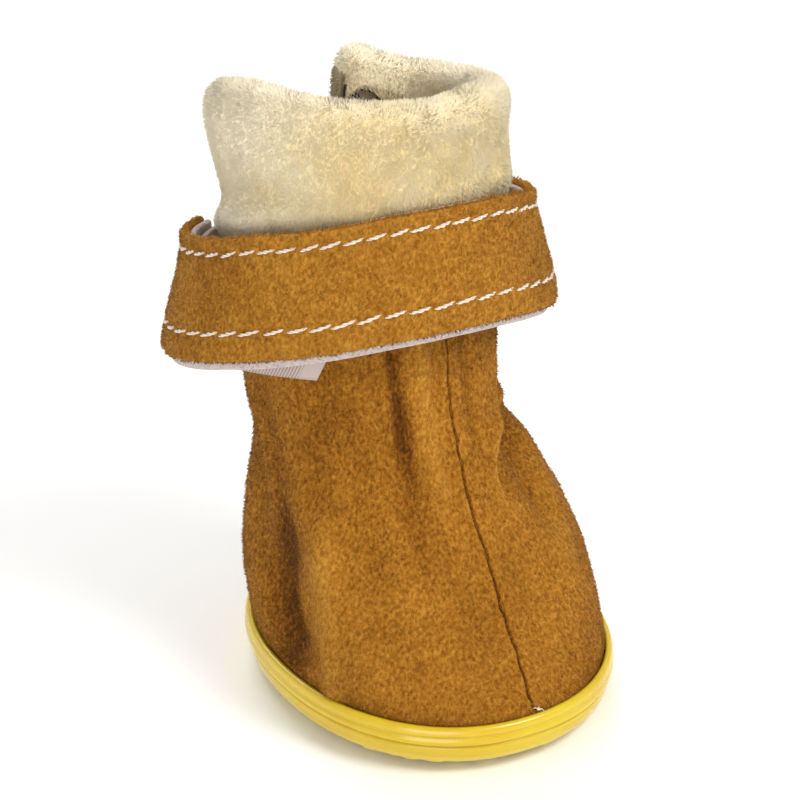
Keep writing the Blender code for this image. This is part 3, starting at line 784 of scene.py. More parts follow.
# %% [markdown]
# ## The sole
#
# The sole is one cup with a rounded edge, a beaded rim and a flat inner floor. It could be joined from a body and
# many studs, but a moulded tread has soft roots where the nubs grow out of the skin. So the whole
# underside is one fine mesh whose height is the plain skin plus a raised, flat-topped dome at each nub.

# %% Lay out the nubs
SOLE_FULLNESS = 2.15
NUB_RADIUS = 0.0015
NUB_PITCH = 0.0039
NUB_MARGIN = 0.0021
NUB_JITTER_SHARE = 0.055
SMALL_NUB = 0.66
NAME_PANEL_LENGTH = 0.021
NAME_PANEL_WIDTH = 0.0046
NAME_PANEL_FORWARD = 0.0042
SIZE_PATCH_RADIUS = 0.0039
SIZE_PATCH_BACK = 0.0087


def sole_radius(inset, angle):
    """Distance from the middle to the sole's outline, drawn in by inset."""
    return oval_radius(SOLE_LENGTH / 2 - inset, SOLE_WIDTH / 2 - inset, SOLE_FULLNESS, angle)


def is_bare(x, y, margin=0.0):
    """True in the tread's plain panel and its round patch."""
    half_length, half_width = NAME_PANEL_LENGTH / 2 + margin, NAME_PANEL_WIDTH / 2 + margin
    in_panel = abs(x) < half_length and abs(y + NAME_PANEL_FORWARD) < half_width
    return in_panel or math.hypot(x, y - SIZE_PATCH_BACK) < SIZE_PATCH_RADIUS + margin


def main_nubs():
    """Centre, half widths and turn of each main nub, on a loose triangular pattern."""
    chance = random.Random(11)
    nubs = []
    row_pitch = NUB_PITCH * math.sqrt(3) / 2
    rows = int(SOLE_LENGTH / 2 / row_pitch) + 1
    columns = int(SOLE_WIDTH / 2 / NUB_PITCH) + 2
    for row in range(-rows, rows + 1):
        for place in range(-columns, columns + 1):
            jitter_x = chance.uniform(-1, 1) * NUB_PITCH * NUB_JITTER_SHARE
            jitter_y = chance.uniform(-1, 1) * NUB_PITCH * NUB_JITTER_SHARE
            size = SMALL_NUB if chance.random() < 0.2 else chance.uniform(0.92, 1.0)
            stretch = chance.uniform(1.0, 1.12)
            turn = chance.uniform(0, math.pi)
            if row == 0 and place == 0:
                jitter_x, jitter_y, size = 0.0, 0.0, 1.0
            x = (place + (row % 2) / 2) * NUB_PITCH + jitter_x
            y = row * row_pitch + jitter_y
            edge = sole_radius(NUB_MARGIN, math.atan2(x, -y))
            if math.hypot(x, y) < edge and not is_bare(x, y):
                nubs.append((x, y, NUB_RADIUS * size, NUB_RADIUS * size / stretch, turn))
    return nubs


print("main nubs:", len(main_nubs()))

# %% [markdown]
# The real tread is full: wherever the large nubs leave a gap, a small one fills it. They could be placed one by
# one, but there are over a hundred. So points are thrown at random, and one that lands with enough room round it
# becomes a nub as wide as the room allows.

# %% Fill the gaps with small nubs
FILLER_TRIES = 9000
FILLER_MARGIN = 1.6 * MM
FILLER_GAP = 0.16 * MM
FILLER_LEAST = 0.48 * MM
FILLER_MOST = 1.05 * MM
FILLER_BARE_MARGIN = 0.35 * MM


def filler_nubs(nubs):
    """Small nubs in the gaps between the main ones, each as large as its gap allows."""
    chance = random.Random(5)
    filled = list(nubs)
    for _ in range(FILLER_TRIES):
        angle, share = chance.uniform(-math.pi, math.pi), math.sqrt(chance.random())
        reach = sole_radius(FILLER_MARGIN, angle) * share
        x, y = reach * math.sin(angle), -reach * math.cos(angle)
        room = min(math.hypot(x - n[0], y - n[1]) - n[2] for n in filled) - FILLER_GAP
        if room > FILLER_LEAST and not is_bare(x, y, FILLER_BARE_MARGIN):
            radius = min(room, FILLER_MOST)
            filled.append((x, y, radius, radius * chance.uniform(0.82, 1.0), chance.uniform(0, math.pi)))
    return filled


nubs = filler_nubs(main_nubs())
print("nubs on the tread:", len(nubs))

# %% [markdown]
# Three kinds of relief lie on the tread: the nubs, a low plain panel across it, and a round patch with a raised
# size numeral. Each is a function that gives a height from 0 to 1 at any point, because such functions can be
# added up, and their soft edges look moulded.

# %% Shape the tread
NUMERAL_STROKE = 0.34 * MM
NUMERAL_BOWL = 0.82 * MM
NUMERAL_RELIEF = 0.28 * MM
PANEL_RELIEF = 0.16 * MM


def nub_relief(x, y):
    """Height of the nubs at points of the underside, as a share of the nub height."""
    relief = np.zeros_like(x)
    for centre_x, centre_y, long_radius, short_radius, turn in nubs:
        dx, dy = x - centre_x, y - centre_y
        u = (dx * math.cos(turn) + dy * math.sin(turn)) / long_radius
        v = (-dx * math.sin(turn) + dy * math.cos(turn)) / short_radius
        away = np.sqrt(u * u + v * v)
        size = min(1.0, 0.72 + 0.28 * long_radius / NUB_RADIUS)
        dome = ease((1.10 - away) / 0.34) * (1 - 0.05 * ease(1 - away / 0.7))
        relief = np.maximum(relief, dome * size)
    return relief


def numeral_relief(x, y):
    """A plain raised size numeral three on the round patch, as a share of its own height."""
    right, up = x, -(y - SIZE_PATCH_BACK)
    height = np.zeros_like(x)
    for middle in (NUMERAL_BOWL, -NUMERAL_BOWL):
        rise = up - middle
        turn = np.degrees(np.arctan2(rise, right))
        ring = np.abs(np.hypot(right, rise) - NUMERAL_BOWL) / NUMERAL_STROKE
        on_arc = (turn > -140) & (turn < 165) if middle > 0 else (turn > -165) & (turn < 140)
        height = np.maximum(height, np.where(on_arc, ease((1.0 - ring) * 1.6), 0))
    return height


def panel_relief(x, y):
    """The plain panel across the tread: a low smooth plaque with a soft edge."""
    past_x = np.abs(x) - NAME_PANEL_LENGTH / 2 + 0.6 * MM
    past_y = np.abs(y + NAME_PANEL_FORWARD) - NAME_PANEL_WIDTH / 2 + 0.2 * MM
    past = np.hypot(np.maximum(past_x, 0), np.maximum(past_y, 0)) + np.minimum(np.maximum(past_x, past_y), 0)
    return ease((0.35 * MM - past) / (0.30 * MM))


print("panel:", NAME_PANEL_LENGTH / MM, "x", NAME_PANEL_WIDTH / MM, "mm")

# %% [markdown]
# From the side the sole curls up from the tread to a beaded rim. Its profile is a short table, read on a smooth
# curve and turned round the oval. A real lathe couldn't do this, because the sole isn't round, so each step of the
# profile is drawn in from the outline by the same inset all the way round.

# %% Mould the sole
SOLE_EDGE = 0.0050
# inset as a share of SOLE_EDGE, height as a share of the side wall above the nubs
UNDERSIDE = [(1.000, 0.000), (0.620, 0.022), (0.370, 0.080), (0.200, 0.175), (0.110, 0.310), (0.070, 0.500)]
# inset as a share of RIM_WALL, height as a share of the side wall above the nubs
RIM_SIDE = [(0.62, 0.580), (0.12, 0.620), (0.00, 0.700), (0.20, 0.790), (0.06, 0.860), (0.26, 0.960), (0.62, 1.000)]
SOLE_ANGLES = 384
TREAD_RINGS = 58
INNERMOST_RING = 0.012
PROFILE_STEPS = 66


def side_height(share):
    """Height of a share of the side wall above the nubs."""
    return NUB_HEIGHT + share * (RIM_HEIGHT - NUB_HEIGHT)


def sole_profile():
    """The sole's section from the flat tread to the cup floor, as inset and height."""
    table = [(inset * SOLE_EDGE, side_height(up)) for inset, up in UNDERSIDE]
    table += [(inset * RIM_WALL, side_height(up)) for inset, up in RIM_SIDE]
    table = np.array(table)
    steps = np.linspace(0, len(table) - 1, PROFILE_STEPS)
    insets = np.maximum(curve_through(table[:, 0], steps), 0.0)
    heights = curve_through(table[:, 1], steps)
    lip = [(RIM_WALL * 0.92, RIM_HEIGHT - 0.02 * MM), (RIM_WALL, RIM_HEIGHT - 0.25 * MM)]
    inside = lip + [(RIM_WALL, CUP_FLOOR)]
    return np.concatenate((np.stack((insets, heights), 1), inside))


def mould_sole():
    """The cup as closed loops, from the middle of the tread out over the rim and down to the cup's floor."""
    angles = np.linspace(0, math.tau, SOLE_ANGLES, endpoint=False)
    profile = sole_profile()
    shares = np.linspace(INNERMOST_RING, 1, TREAD_RINGS, endpoint=False)
    flat_edge = sole_radius(SOLE_EDGE, angles)
    radii = [share * flat_edge for share in shares] + [sole_radius(inset, angles) for inset, _ in profile]
    heights = [np.full(SOLE_ANGLES, NUB_HEIGHT)] * TREAD_RINGS + [np.full(SOLE_ANGLES, h) for _, h in profile]
    radii, heights = np.array(radii), np.array(heights)
    x, y = radii * np.sin(angles), -radii * np.cos(angles)
    under = ease((side_height(0.34) - heights) / (1.0 * MM))
    under[TREAD_RINGS + len(profile) - 2:] = 0
    inset = sole_radius(0, angles) - radii
    relief = nub_relief(x, y) * (0.20 + 0.80 * ease((inset - NUB_MARGIN) / (2.0 * MM)))
    heights = heights - under * relief * NUB_HEIGHT
    plain = under * (1 - relief)
    heights = heights - plain * numeral_relief(x, y) * NUMERAL_RELIEF
    heights = heights - plain * panel_relief(x, y) * PANEL_RELIEF
    frost = under * (1 - relief) * (1 - panel_relief(x, y))
    loops = np.stack((x, y, heights), -1)
    piece = tube_solid("moulded_sole", loops, vinyl, {"frost": frost})
    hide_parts("outsole")
    return piece


sole = mould_sole()

# %% [markdown]
# ## The upper
#
# The upper is cut from suede and lasted wet, and later the empty boot sags, so soft troughs run over its flanks.
# A cloth simulation would make folds of its own. These have to lie where the real ones do, so they are listed in a
# table, like the creases of the last. A negative depth is a ridge.

# %% Place the folds
FOLD_DEPTH = 1.0 * MM
# start angle, start level, end angle, end level, depth, reach
FOLDS = [
    (-18, 7.8, -17, 5.3, 1.15, 6.5),
    (-17, 5.3, -21, 4.0, 0.55, 6.5),
    (-3, 7.0, -6, 4.6, -0.60, 7.0),
    (24, 7.2, 20, 5.2, 0.40, 6.0),
    (-44, 6.2, -38, 3.9, 0.30, 15.0),
    (50, 3.7, 38, 2.9, -0.30, 9.0),
    (84, 5.40, 60, 5.30, 0.75, 9.0),
    (-88, 5.6, -79, 3.6, 0.60, 13.0),
    (-82, 3.4, -90, 0.5, 1.35, 15.0),
    (-59, 3.5, -63, 0.5, -0.75, 8.0),
    (-52, 6.2, -60, 4.2, 0.35, 9.0),
    (-120, 6.4, -104, 4.4, 0.50, 10.0),
    (96, 6.0, 82, 4.6, 0.50, 9.0),
    (84, 3.2, 70, 1.4, 0.35, 10.0),
    (146, 4.6, 150, 2.0, 0.40, 7.0),
    (-146, 4.6, -150, 2.0, 0.40, 7.0),
]
print("folds:", len(FOLDS))

# %% [markdown]
# The two halves are sewn right sides together down the front and turned, so the seam sinks into a groove between
# two soft rolls. It isn't straight: the suede has pulled it to the left higher up. A short table gives its path,
# and two sine waves make it wander as hand-fed stitching does.

# %% Follow the front seam
SEAM_GROOVE = 0.75 * MM
SEAM_HALF_WIDTH = 0.26 * MM
SEAM_ROLL = 0.26 * MM
# level, degrees from the middle of the toe
SEAM_PATH = [
    (-1, 1.8), (0, 1.8), (1, 2.0), (2, 2.2), (3, 2.9), (4, 4.8), (5, 8.0), (6, 10.0), (7, 11.5), (11, 12.0),
]


def seam_line(level):
    """How far the front seam wanders from the middle, in degrees."""
    path = np.array(SEAM_PATH)
    drawn = np.interp(level, path[:, 0], path[:, 1])
    return drawn + 0.30 * np.sin(level * 4.1 + 0.6) + 0.22 * np.sin(level * 11.3)


def beside_seam(degrees, level):
    """Distance from the seam round the leg, in metres, positive on the left."""
    return np.radians(degrees - seam_line(level)) * shaft_ends(level)[4]


print("the seam starts at", round(float(seam_line(0)), 1), "degrees and ends at", round(float(seam_line(11)), 1))

# %% [markdown]
# On the left the shaft laps over the foot in one sharp fold, which curls round under the instep. A trough has the
# same soft slope on both sides, so it can't show this. The lap fold is a line of its own: a thin lit ridge on the
# shaft's side, and behind it a steep drop that fills up again slowly.

# %% Lap the shaft over the foot
# degrees, level and strength along the line of the fold
LAP_FOLD = [
    (80, 5.05, 0.6), (58, 4.90, 1.0), (36, 4.78, 1.0), (27, 4.50, 0.9), (23, 4.25, 0.7), (23, 3.95, 0.4),
    (27, 3.60, 0.0),
]
# metres for one degree and for one level, near the fold
FOLD_DEGREE = 0.24 * MM
FOLD_LEVEL = 6.5 * MM
LAP_RIDGE = 0.24 * MM
LAP_DROP = 1.10 * MM


def beside_lap(degrees, level):
    """Distance from the lap fold, in metres and positive on the foot's side, and the strength of the fold there."""
    line = np.array(LAP_FOLD)
    degrees, level = np.broadcast_arrays(np.asarray(degrees, float), np.asarray(level, float))
    x, y = degrees * FOLD_DEGREE, level * FOLD_LEVEL
    nearest, away, strength = np.full(x.shape, 1.0), np.zeros(x.shape), np.zeros(x.shape)
    for start, end in zip(line[:-1], line[1:]):
        run_x, run_y = (end[0] - start[0]) * FOLD_DEGREE, (end[1] - start[1]) * FOLD_LEVEL
        here_x, here_y = x - start[0] * FOLD_DEGREE, y - start[1] * FOLD_LEVEL
        t = np.clip((here_x * run_x + here_y * run_y) / (run_x**2 + run_y**2), 0, 1)
        off_x, off_y = here_x - t * run_x, here_y - t * run_y
        distance = np.hypot(off_x, off_y)
        closer = distance < nearest
        nearest = np.where(closer, distance, nearest)
        away = np.where(closer, distance * np.sign(run_x * off_y - run_y * off_x), away)
        strength = np.where(closer, start[2] + (end[2] - start[2]) * t, strength)
    return away, strength


def lap_relief(degrees, level):
    """A thin ridge on the shaft's side of the lap fold, and a drop behind it that fills up again slowly."""
    away, strength = beside_lap(degrees, level)
    ridge = LAP_RIDGE * np.exp(-(((away + 0.45 * MM) / (0.60 * MM)) ** 2))
    filling = np.exp(-((np.maximum(away - 0.8 * MM, 0) / (2.6 * MM)) ** 2))
    drop = LAP_DROP * ease((away + 0.2 * MM) / (0.9 * MM)) * filling
    return strength * (ridge - drop)


print("drop behind the lap fold:", round(float(-lap_relief(45, 4.6)) / MM, 2), "mm")

# %% [markdown]
# All of this is added up to one relief, with small puckers along the seam and a little unevenness. It fades out at
# the foot, where the suede is held by the sole. The same tables say where shade is painted dark into the suede and
# its nap.

# %% Add up the relief of the suede

def suede_relief(degrees, level, points):
    """How far the suede's face stands out from the last: folds, seam and small unevenness."""
    folds = lap_relief(degrees, level) - FOLD_DEPTH * troughs(FOLDS, degrees, level)
    away = beside_seam(degrees, level)
    groove = -SEAM_GROOVE * np.clip(1 - np.abs(away) / SEAM_HALF_WIDTH, 0, 1) ** 0.8
    right_roll = SEAM_ROLL * np.exp(-(((away + 0.8 * MM) / (0.8 * MM)) ** 2))
    left_roll = 0.45 * SEAM_ROLL * np.exp(-(((away - 1.0 * MM) / (0.9 * MM)) ** 2))
    puckers = 0.07 * MM * np.sin(level * 19) * np.exp(-((away / (2.2 * MM)) ** 2))
    uneven = 0.15 * MM * soft_noise(points, 4.2 * MM, 3) + 0.05 * MM * soft_noise(points, 1.2 * MM, 4)
    low_edge = ease((level + 0.05) / 0.35)
    return (folds + groove + right_roll + left_roll + puckers) * low_edge + uneven * low_edge


def painted_fold_shade(degrees, level):
    """Painted shade: about 1 in a deep fold and in the drop behind the lap fold, and below 0, as a painted
    highlight, on the lit ridge of the lap fold.
    """
    depth = 0.80 * troughs(FOLDS, degrees, level) + 0.25 * troughs(CREASES, degrees, level)
    away, strength = beside_lap(degrees, level)
    ridge_highlight = strength * np.exp(-(((away + 0.25 * MM) / (0.42 * MM)) ** 2))
    return np.clip(depth - 0.25 * lap_relief(degrees, level) / MM - 0.75 * ridge_highlight, -0.80, 1.10)


print("seam groove:", round(float(suede_relief(seam_line(2), 2, np.zeros(3))) / MM, 2), "mm")

# %% [markdown]
# The upper is one sheet from the back slot's left edge round the toe to its right edge. Its points stand closest
# together at the front seam, which is the finest thing on it. Under the cuff it goes on plain, to near the top.

# %% Cut and last the upper
UPPER_WALL = 0.0012
UPPER_ROWS = 124
HIDDEN_ROWS = 14
SUEDE_TOP = 76.2 * MM


def wall_shares():
    """Stations round the wall from -1 to 1, closest together at the front seam."""
    side = np.concatenate((np.linspace(0.0, 0.016, 13)[1:], np.linspace(0.016, 1.0, 88)[1:]))
    return np.concatenate((-side[::-1], (0.0,), side))


def last_upper():
    """The suede wall with its folds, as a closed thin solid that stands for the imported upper."""
    cuff_top = float(level_at_height(SUEDE_TOP))
    visible = np.linspace(-0.25, LEAN_START + 0.1, UPPER_ROWS)
    hidden = np.linspace(LEAN_START + 0.1, cuff_top, HIDDEN_ROWS)[1:]
    levels = np.concatenate(((-1.0,), visible, hidden))[:, None]
    shares = wall_shares()[None, :]
    degrees = shares * slot_angle(levels) + seam_line(levels) * (1 - shares**2)
    levels = np.broadcast_to(levels, degrees.shape)
    face = on_boot(degrees, levels)
    relief = suede_relief(degrees, levels, face) * ease((LEAN_START + 0.3 - levels) / 0.4)
    outer = face + outward(degrees, levels) * relief[..., None]
    inner = on_boot(degrees, levels, -UPPER_WALL) + outward(degrees, levels) * np.minimum(relief, 0)[..., None]
    # the upper holds painted shade for its folds and a painted highlight for the lap fold's ridge
    piece = thin_solid("suede_upper", outer, inner, suede, {"hollow": painted_fold_shade(degrees, levels)})
    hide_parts("upper")
    return piece


upper = last_upper()

# %% [markdown]
# Suede gets its look from the nap, a short raised fuzz. Colour and bump could show it from the front, but along
# the outline of the boot single fibres catch the light. So short fibres are planted all over, brushed this way
# and that in small patches.

# %% Raise the nap of the upper
UPPER_FIBRES = 52000
NAP_LENGTH = 0.46 * MM


def brushed(points, normals, amount, grain, seed):
    """A sideways push that turns smoothly from patch to patch, with some stray fibres."""
    rng = np.random.default_rng(seed)
    push = np.stack([soft_noise(points, grain, seed + k) for k in range(3)], -1)
    push = push + rng.normal(scale=0.35, size=push.shape)
    push = push - normals * np.sum(push * normals, -1, keepdims=True)
    return push * amount


def nap_tones(roots, seed):
    """Light and dark tufts, longer than they are wide, with a little chance in each fibre."""
    rng = np.random.default_rng(seed)
    tufts = soft_noise(roots * (1, 1, 0.55), 0.20 * MM, seed)
    lumps = soft_noise(roots * (1, 1, 0.8), 0.7 * MM, seed + 1)
    return 0.47 + 0.16 * tufts + 0.06 * lumps + rng.normal(scale=0.07, size=len(roots))


def raise_upper_nap():
    """Fibres over the whole visible suede, painted darker in the folds as painted shade, and darker along the seam.
    """
    rng = np.random.default_rng(21)
    level = rng.uniform(0.02, LEAN_START, UPPER_FIBRES)
    degrees = rng.uniform(-1, 1, UPPER_FIBRES) * slot_angle(level)
    face = on_boot(degrees, level)
    normals = outward(degrees, level)
    roots = face + normals * (suede_relief(degrees, level, face) - 0.04 * MM)[:, None]
    lengths = NAP_LENGTH * rng.uniform(0.3, 1.0, UPPER_FIBRES)
    lean = brushed(roots, normals, 0.34 * MM, 0.8 * MM, 31)
    lean[:, 2] -= 0.12 * MM
    # painted shade in the folds and a painted highlight on the lap fold's ridge
    tones = nap_tones(roots, 35) + SHADE_AND_WEAR_SHIFT * painted_fold_shade(degrees, level)
    tones = tones - 0.42 * np.exp(-((beside_seam(degrees, level) / (0.22 * MM)) ** 2))
    piece = plant_fibres("suede_upper_nap", roots, normals, lengths, lean, 0.13 * MM, tones, suede_nap, 41)
    return piece


raise_upper_nap()

# %% [markdown]
# ## The gusset
#
# The gusset is a strip of gingham, wider than the slot that it fills, so it stands in two puffed pleats with a
# deep valley between them. Its edges lie on the suede, where an overlock thread holds them. Between the flaps of
# the cuff it ends in a V.

# %% Pleat the gusset
GUSSET_PUFF = 1.2 * MM
GUSSET_FOLD = 2.4 * MM
GUSSET_CLOTH = 0.30 * MM
# how far the cloth reaches and how far it is drawn in, as shares of the slot's half width
GUSSET_OVERLAP = 1.13
GUSSET_DRAWN_IN = 0.13
# across as a share of the slot's half width, out as a share of puff or fold
PLEATS = [
    (-GUSSET_OVERLAP, 0.24), (-1.02, 0.30), (-0.78, 0.42), (-0.52, 1.00), (-0.26, 0.74), (-0.10, -0.35),
    (0.00, -1.00), (0.10, -0.35), (0.26, 0.74), (0.52, 1.00), (0.78, 0.42), (1.02, 0.30), (GUSSET_OVERLAP, 0.24),
]
GUSSET_STATIONS = 96
GUSSET_ROWS = 120
V_EDGE_HEIGHT = 71.5 * MM
V_MIDDLE_HEIGHT = 66.5 * MM


def slot_frame(level):
    """The right and left edges of the slot at these levels, and the way straight out between them."""
    edge = slot_angle(level)
    away = unit(outward(-edge, level) + outward(edge, level))
    return on_boot(-edge, level), on_boot(edge, level), away


def pleat_gusset():
    """The pleated strip, its points, the way straight out of the slot, and the size its cloth was cut to."""
    table = np.array(PLEATS)
    steps = np.linspace(0, len(PLEATS) - 1, GUSSET_STATIONS)
    across, out = curve_through(table[:, 0], steps)[None], curve_through(table[:, 1], steps)[None]
    foot = np.linspace(0, 1, GUSSET_ROWS)[:, None]
    sides = np.minimum(np.abs(across), 1)
    top = level_at_height(V_MIDDLE_HEIGHT + (V_EDGE_HEIGHT - V_MIDDLE_HEIGHT) * sides**1.3)
    levels = -0.45 + (top + 0.45) * foot
    right, left, away = slot_frame(levels)
    freed = ease(levels / 0.9)
    wander = 0.05 * soft_noise(np.stack((levels * 3, across + 0 * levels, 0 * levels), -1), 1.0, 7)
    opened = ease((levels - LEAN_START + 0.4) / 1.4)
    behind = -UPPER_WALL - CLEARANCE
    rise = np.where(out > 0, GUSSET_PUFF, GUSSET_FOLD) * out
    sagging = -2.6 * MM * (1 - sides**2) - 0.5 * MM * np.cos(across * 9) - 1.2 * MM
    reach = (behind * (1 - freed) + rise * freed) * (1 - opened) + sagging * opened
    drawn = across * (1 - GUSSET_DRAWN_IN * np.maximum(1 - freed, opened))
    share = (np.clip(drawn, -GUSSET_OVERLAP, GUSSET_OVERLAP) + wander * (1 - sides) + 1) / 2
    points = right * (1 - share[..., None]) + left * share[..., None] + away * reach[..., None]
    rumple = 0.16 * MM * soft_noise(points, 2.1 * MM, 8) + 0.07 * MM * soft_noise(points, 0.9 * MM, 9)
    points = points + away * (rumple * freed)[..., None]
    run = np.linalg.norm(np.diff(points, axis=1), axis=-1)
    across_cloth = np.concatenate((np.zeros((GUSSET_ROWS, 1)), np.cumsum(run, axis=1)), axis=1)
    across_cloth -= across_cloth.mean(axis=1, keepdims=True)
    climb = np.linalg.norm(np.diff(points, axis=0), axis=-1).mean(axis=1)
    along_cloth = np.concatenate(((0.0,), np.cumsum(climb)))[:, None] + 0 * across_cloth
    inner = points - away * GUSSET_CLOTH
    cut_size = (float(np.ptp(across_cloth, axis=1).mean()), float(along_cloth.max()))
    values = {"across": across_cloth + 0.5, "along": along_cloth + 0.5}
    piece = thin_solid("gingham_gusset", points, inner, gingham, values)
    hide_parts("gusset")
    print("cloth cut for the gusset, mm:", [round(v / MM, 1) for v in cut_size])
    return piece, points, away, cut_size


gusset, gusset_points, gusset_away, gusset_cut = pleat_gusset()

# %% [markdown]
# The suede's two cut edges would fray between the flaps, so a narrow gingham binding is folded over each. It could
# be a bent strip, but only its rounded outside is seen, so a flattened tube along the edge gives the same look.

# %% Bind the cut edges of the flaps
BINDING_WIDTH = 1.5 * MM
BINDING_RISE = 0.45 * MM
BINDING_FOOT = 66.0 * MM
BINDING_ROWS = 70
BINDING_SIDES = 22


def edge_frame(side, level, out=0.0):
    """Points on a flap's cut end and the direction into the slit; side is -1 on the right and 1 on the left."""
    edge = side * slot_angle(level)
    point = on_boot(edge, level, out)
    into = unit(on_boot(edge + side * 1.0, level, out) - on_boot(edge - side * 1.0, level, out))
    return point, into


def bind_edge(name, side, top):
    """A gingham binding: a flattened tube over the suede's cut edge, between the two layers of plush."""
    levels = np.linspace(float(level_at_height(BINDING_FOOT)), float(level_at_height(top)), BINDING_ROWS)
    point, into = edge_frame(side, levels, -UPPER_WALL / 2)
    face = outward(side * slot_angle(levels), levels)
    turn = np.linspace(0, math.tau, BINDING_SIDES, endpoint=False)
    ends = np.clip(np.sin(np.linspace(0.0, math.pi, BINDING_ROWS)) * 11, 0.3, 1)
    weave_in = 0.12 * MM * np.sin(levels * 9 + side)
    half = BINDING_WIDTH / 2 * (1 + 0.10 * np.sin(levels * 7)) * ends
    sideways = np.cos(turn)[None] * half[:, None]
    rise = np.sin(turn)[None] * ends[:, None] * BINDING_RISE + weave_in[:, None]
    loops = point[:, None] + face[:, None] * sideways[..., None] + into[:, None] * rise[..., None]
    climb = np.concatenate(((0.0,), np.cumsum(np.linalg.norm(np.diff(point, axis=0), axis=-1))))[:, None]
    round_tube = (turn * BINDING_WIDTH / math.pi)[None]
    values = {"along": 0.5 + climb + 0 * turn[None], "across": 0.5 + 0 * climb + round_tube}
    piece = tube_solid(name, loops, gingham, values)
    return piece


bind_edge("gingham_binding_right", -1, 77.3 * MM)
bind_edge("gingham_binding_left", 1, 75.4 * MM)

# %% [markdown]
# From above, inside the open collar, a strip of gingham shows below the turned-in plush, where the gusset's cloth
# is tucked behind each flap. It is a plain thin sheet on the suede's inner face, with a slight wave.

# %% Tuck the gingham behind the flaps
TUCK_SHARE = 0.17
TUCK_FOOT = 60.0 * MM
TUCK_TOP = 76.4 * MM
TUCK_ROWS = 44
TUCK_STATIONS = 24


def tuck_gingham(name, side):
    """The part of the gusset that is sewn behind a flap, seen from above through the open collar."""
    foot, top = float(level_at_height(TUCK_FOOT)), float(level_at_height(TUCK_TOP))
    levels = np.linspace(foot, top, TUCK_ROWS)[:, None]
    shares = side * np.linspace(1 - TUCK_SHARE, 1.0, TUCK_STATIONS)[None, :]
    degrees = shares * slot_angle(levels)
    levels = np.broadcast_to(levels, degrees.shape)
    wave = 0.18 * MM * soft_noise(bare_last(degrees, levels), 2.6 * MM, 17)
    near = on_boot(degrees, levels, -UPPER_WALL - 0.45 * MM + wave)
    far = on_boot(degrees, levels, -UPPER_WALL - 0.75 * MM + wave)
    across = np.radians(degrees) * shaft_ends(levels)[4]
    climb = (levels - levels[0]) * 6.4 * MM
    piece = thin_solid(name, far, near, gingham, {"along": climb + 0.5, "across": across + 0.5})
    return piece


tuck_gingham("gingham_tuck_right", -1)
tuck_gingham("gingham_tuck_left", 1)

# %% [markdown]
# ## The cuff
#
# The cuff is plush, folded over the collar so that its pile shows outside and inside. The strap squeezes its foot,
# so the plush swells over the strap's edge, most on the right side, with a hollow above. A simulation of the soft
# cloth could find this too. A few written dents and one roll are quicker to set, and they stay where they are put.

# %% Dent and swell the plush
# start angle, start level, end angle, end level, depth, reach
CUFF_DENTS = [
    (-30, 9.8, -24, 8.4, 0.35, 12),
    (34, 9.9, 30, 8.5, 0.30, 10),
    (12, 9.6, 8, 8.6, 0.22, 8),
    (62, 9.7, 58, 8.4, 0.35, 9),
    (-150, 10.2, -146, 8.6, 0.35, 12),
    (120, 10.0, 118, 8.4, 0.30, 14),
]
DENT_DEPTH = 1.1 * MM
# first and last degree of the roll low on the right side, and how far it stands out
ROLL_SPAN = (-152, -66)
ROLL_SWELL = 0.85 * MM
FOOT_SWELL = 0.50 * MM
ROLL_HOLLOW = 0.40 * MM
ROLL_LEVEL = 8.98
ROLL_HOLLOW_LEVEL = 9.50


def low_roll(degrees, level):
    """The plush is squeezed by the strap and swells over its edge, most on the right side, with a hollow above."""
    first, last = ROLL_SPAN
    within = ease((degrees - first) / 22) * ease((last - degrees) / 24)
    swell = (FOOT_SWELL + ROLL_SWELL * within) * np.exp(-(((level - ROLL_LEVEL) / 0.27) ** 2))
    hollow = ROLL_HOLLOW * within**2 * np.exp(-(((level - ROLL_HOLLOW_LEVEL) / 0.26) ** 2))
    return swell - hollow


def plush_relief(degrees, level, out):
    """How far the plush stands out: dents and rolls of the outer face, then soft unevenness everywhere."""
    dents = (low_roll(degrees, level) - DENT_DEPTH * troughs(CUFF_DENTS, degrees, level)) * (out > 0)
    place = bare_last(degrees, level)
    return dents + 0.22 * MM * soft_noise(place, 5.5 * MM, 12) + 0.10 * MM * soft_noise(place, 1.9 * MM, 13)


print("dents:", len(CUFF_DENTS), "roll:", round(float(low_roll(-110, ROLL_LEVEL)) / MM, 2), "mm")

# %% [markdown]
# Cut across, the folded plush is an upturned U: up the outer face, over the crown and down inside to the end of the
# facing. The section is a list of points, each with a level and a distance out from the suede's face. It is drawn
# in by the length of the pile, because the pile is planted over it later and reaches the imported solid's face.

# %% Draw the cuff's section
CUFF_PILE = 0.0020
CUFF_FOLD = 0.0070
CUFF_FACING = 0.0100
CUFF_SHRINK = 0.55 * MM
OUTER_ROWS = 40
INNER_ROWS = 24
SUEDE_MIDDLE = -UPPER_WALL / 2
SHOULDER_LEVEL = float(level_at_height(BOOT_HEIGHT - CUFF_PILE - CUFF_SHRINK))


